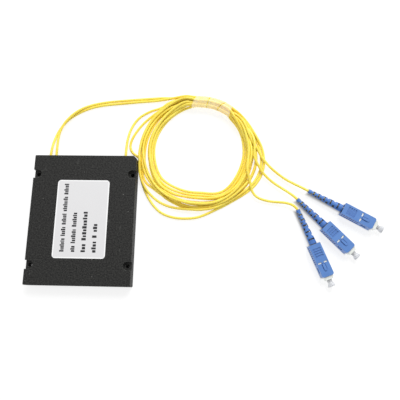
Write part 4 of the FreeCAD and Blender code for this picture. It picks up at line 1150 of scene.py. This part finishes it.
@dataclass
class TapeBands:
    """Clear tape wound on a slant round the tied stretch of the coil.

    Sizes are in millimetres.  A band is the angles of its first edge inside and outside the
    coil, then of its last edge.
    """

    coil: CoilShape
    bands: tuple[tuple[float, float, float, float], ...] = (
        (49.0, 53.5, 66.0, 60.0), (67.2, 61.2, 80.6, 77.5), (81.4, 78.8, 100.0, 92.5))
    inner: float = 36.0
    outer: float = 44.5
    clearance: float = 0.12
    lap: float = 0.03
    thickness: float = 0.09
    rim_sides: int = 24
    sweep: float = 10.0
    steps: int = 10

    def build(self) -> Object:
        """Wind the bands.

        Returns:
            The tape.
        """
        shape = bmesh.new()
        for index, band in enumerate(self.bands):
            self.band(shape, band, self.clearance + self.lap * index)
        bmesh.ops.recalc_face_normals(shape, faces=shape.faces)
        piece = finished_piece(shape, "coil_tape", TAPE.make(), smooth=True)
        wall = piece.modifiers.new("wall", "SOLIDIFY")
        wall.thickness = self.thickness * MM
        wall.offset = 1.0
        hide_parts("coil_wrap")
        return piece

    def band(self, shape: BMesh, edges: tuple[float, float, float, float], gap: float) -> None:
        """Wind one band round the bundle: a short even sweep, whose verts then go to the band.

        Args:
            shape: the bmesh that takes it.
            edges: the band.
            gap: space between the band and the strands in millimetres.
        """
        reach = self.coil.diameter / 2 + gap
        turns = [math.radians(360 / self.rim_sides * side) for side in range(self.rim_sides)]
        rim = [Vector((self.coil.wrap_radius + offset + reach * math.cos(turn),
                       height + reach * math.sin(turn)))
               for offset, height in self.coil.seats() for turn in turns]
        hull = [rim[index] for index in convex_hull_2d(rim)]
        before = len(shape.verts)
        verts = [shape.verts.new((place.x * MM, 0.0, place.y * MM)) for place in hull]
        rails = [shape.edges.new((one, other)) for one, other in zip(verts, verts[1:] + verts[:1])]
        bmesh.ops.spin(shape, geom=verts + rails, cent=(0, 0, 0), axis=(0, 0, 1),
                       angle=math.radians(self.sweep), steps=self.steps, use_merge=False)
        for vert in shape.verts[before:]:
            radius = math.hypot(vert.co.x, vert.co.y)
            share = math.degrees(math.atan2(vert.co.y, vert.co.x)) / self.sweep
            out = (radius / MM - self.inner) / (self.outer - self.inner)
            first = edges[0] + (edges[1] - edges[0]) * out
            last = edges[2] + (edges[3] - edges[2]) * out
            turn = math.radians(first + (last - first) * share)
            vert.co.x = self.coil.centre[0] * MM + radius * math.cos(turn)
            vert.co.y = self.coil.centre[1] * MM + radius * math.sin(turn)


# ---- studio

@dataclass
class Studio:
    """White floor, soft lights and the camera, in metres.

    A lamp is its name, place, size and power in watts.  The painted shadow on the floor under a
    boot or a grip is where that starts and ends along the plug, and its half width.
    """

    eye: Place = (0.104052, -0.057638, 0.342589)
    turn: Place = (0.21664202, 0.0407434, 0.01638173)
    lens: float = 40.617
    aim: Place = (0.08, 0.03, 0.0)
    world: float = 0.48
    lamps: tuple[tuple[str, Place, float, float], ...] = (
        ("key_light", (0.4, 1.0, 1.0), 0.9, 18.0), ("fill_light", (-1.0, -0.3, 1.0), 1.0, 3.0))
    floor_half: float = 6.0
    painted_shadow_under_box: PaintedShadow = PaintedShadow((0.0, 0.0), 0.0, (0.0385, 0.0485))
    painted_shadow_under_boot: Place = (-0.0285, 0.0, 0.0022)
    painted_shadow_under_grip: Place = (0.0, 0.0245, 0.0040)

    def build(self) -> None:
        """Make the studio."""
        bpy.context.scene.view_settings.view_transform = "Standard"
        self.floor()
        self.camera()
        self.lights()

    def floor(self) -> None:
        """Wide plane under everything."""
        mesh = bpy.data.meshes.new("floor")
        plane = bmesh.new()
        bmesh.ops.create_grid(plane, x_segments=1, y_segments=1, size=self.floor_half)
        plane.to_mesh(mesh)
        plane.free()
        # Painted shadows: the floor's glow is cut out under the box, each boot and each grip.
        painted_shadows = [self.painted_shadow_under_box]
        for plug in PLUGS.values():
            painted_shadows += [plug.painted_shadow(*self.painted_shadow_under_boot), plug.painted_shadow(*self.painted_shadow_under_grip)]
        mesh.materials.append(StudioPaper(tuple(painted_shadows)).make())
        piece = add_object("floor", mesh)

    def camera(self) -> None:
        """Camera above the object, a little towards the plugs."""
        data = bpy.data.cameras.new("camera")
        data.lens = self.lens
        data.sensor_width = 36.0
        data.clip_start = 0.01
        data.clip_end = 50.0
        camera = add_object("camera", data)
        axis = Vector(self.turn)
        camera.matrix_world = (Matrix.Translation(Vector(self.eye))
                               @ Matrix.Rotation(axis.length, 4, axis.normalized()))
        bpy.context.scene.camera = camera

    def lights(self) -> None:
        """Bright even world and two large soft lights."""
        world = bpy.data.worlds.new("studio_world")
        world.use_nodes = True
        background = world.node_tree.nodes["Background"]
        background.inputs["Color"].default_value = (1, 1, 1, 1)
        background.inputs["Strength"].default_value = self.world
        bpy.context.scene.world = world
        for name, place, size, power in self.lamps:
            data = bpy.data.lights.new(name, "AREA")
            data.shape = "SQUARE"
            data.size = size
            data.energy = power
            light = add_object(name, data)
            light.location = place
            aim = Vector(self.aim) - Vector(place)
            light.rotation_euler = aim.to_track_quat("-Z", "Y").to_euler()


def main() -> None:
    """Build every sub-assembly in order and report it."""
    logging.basicConfig(level=logging.INFO, format="%(name)s: %(message)s")
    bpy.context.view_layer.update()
    coil = CoilShape()
    for part in (Housing(), LabelSheet(), SplitterCore(), PlugFinishes(), PlugSprings(),
                 Leads(coil), TapeBands(coil), Studio()):
        part.build()
        LOG.info("finished %s", type(part).__name__)


if __name__ == "__main__":
    main()
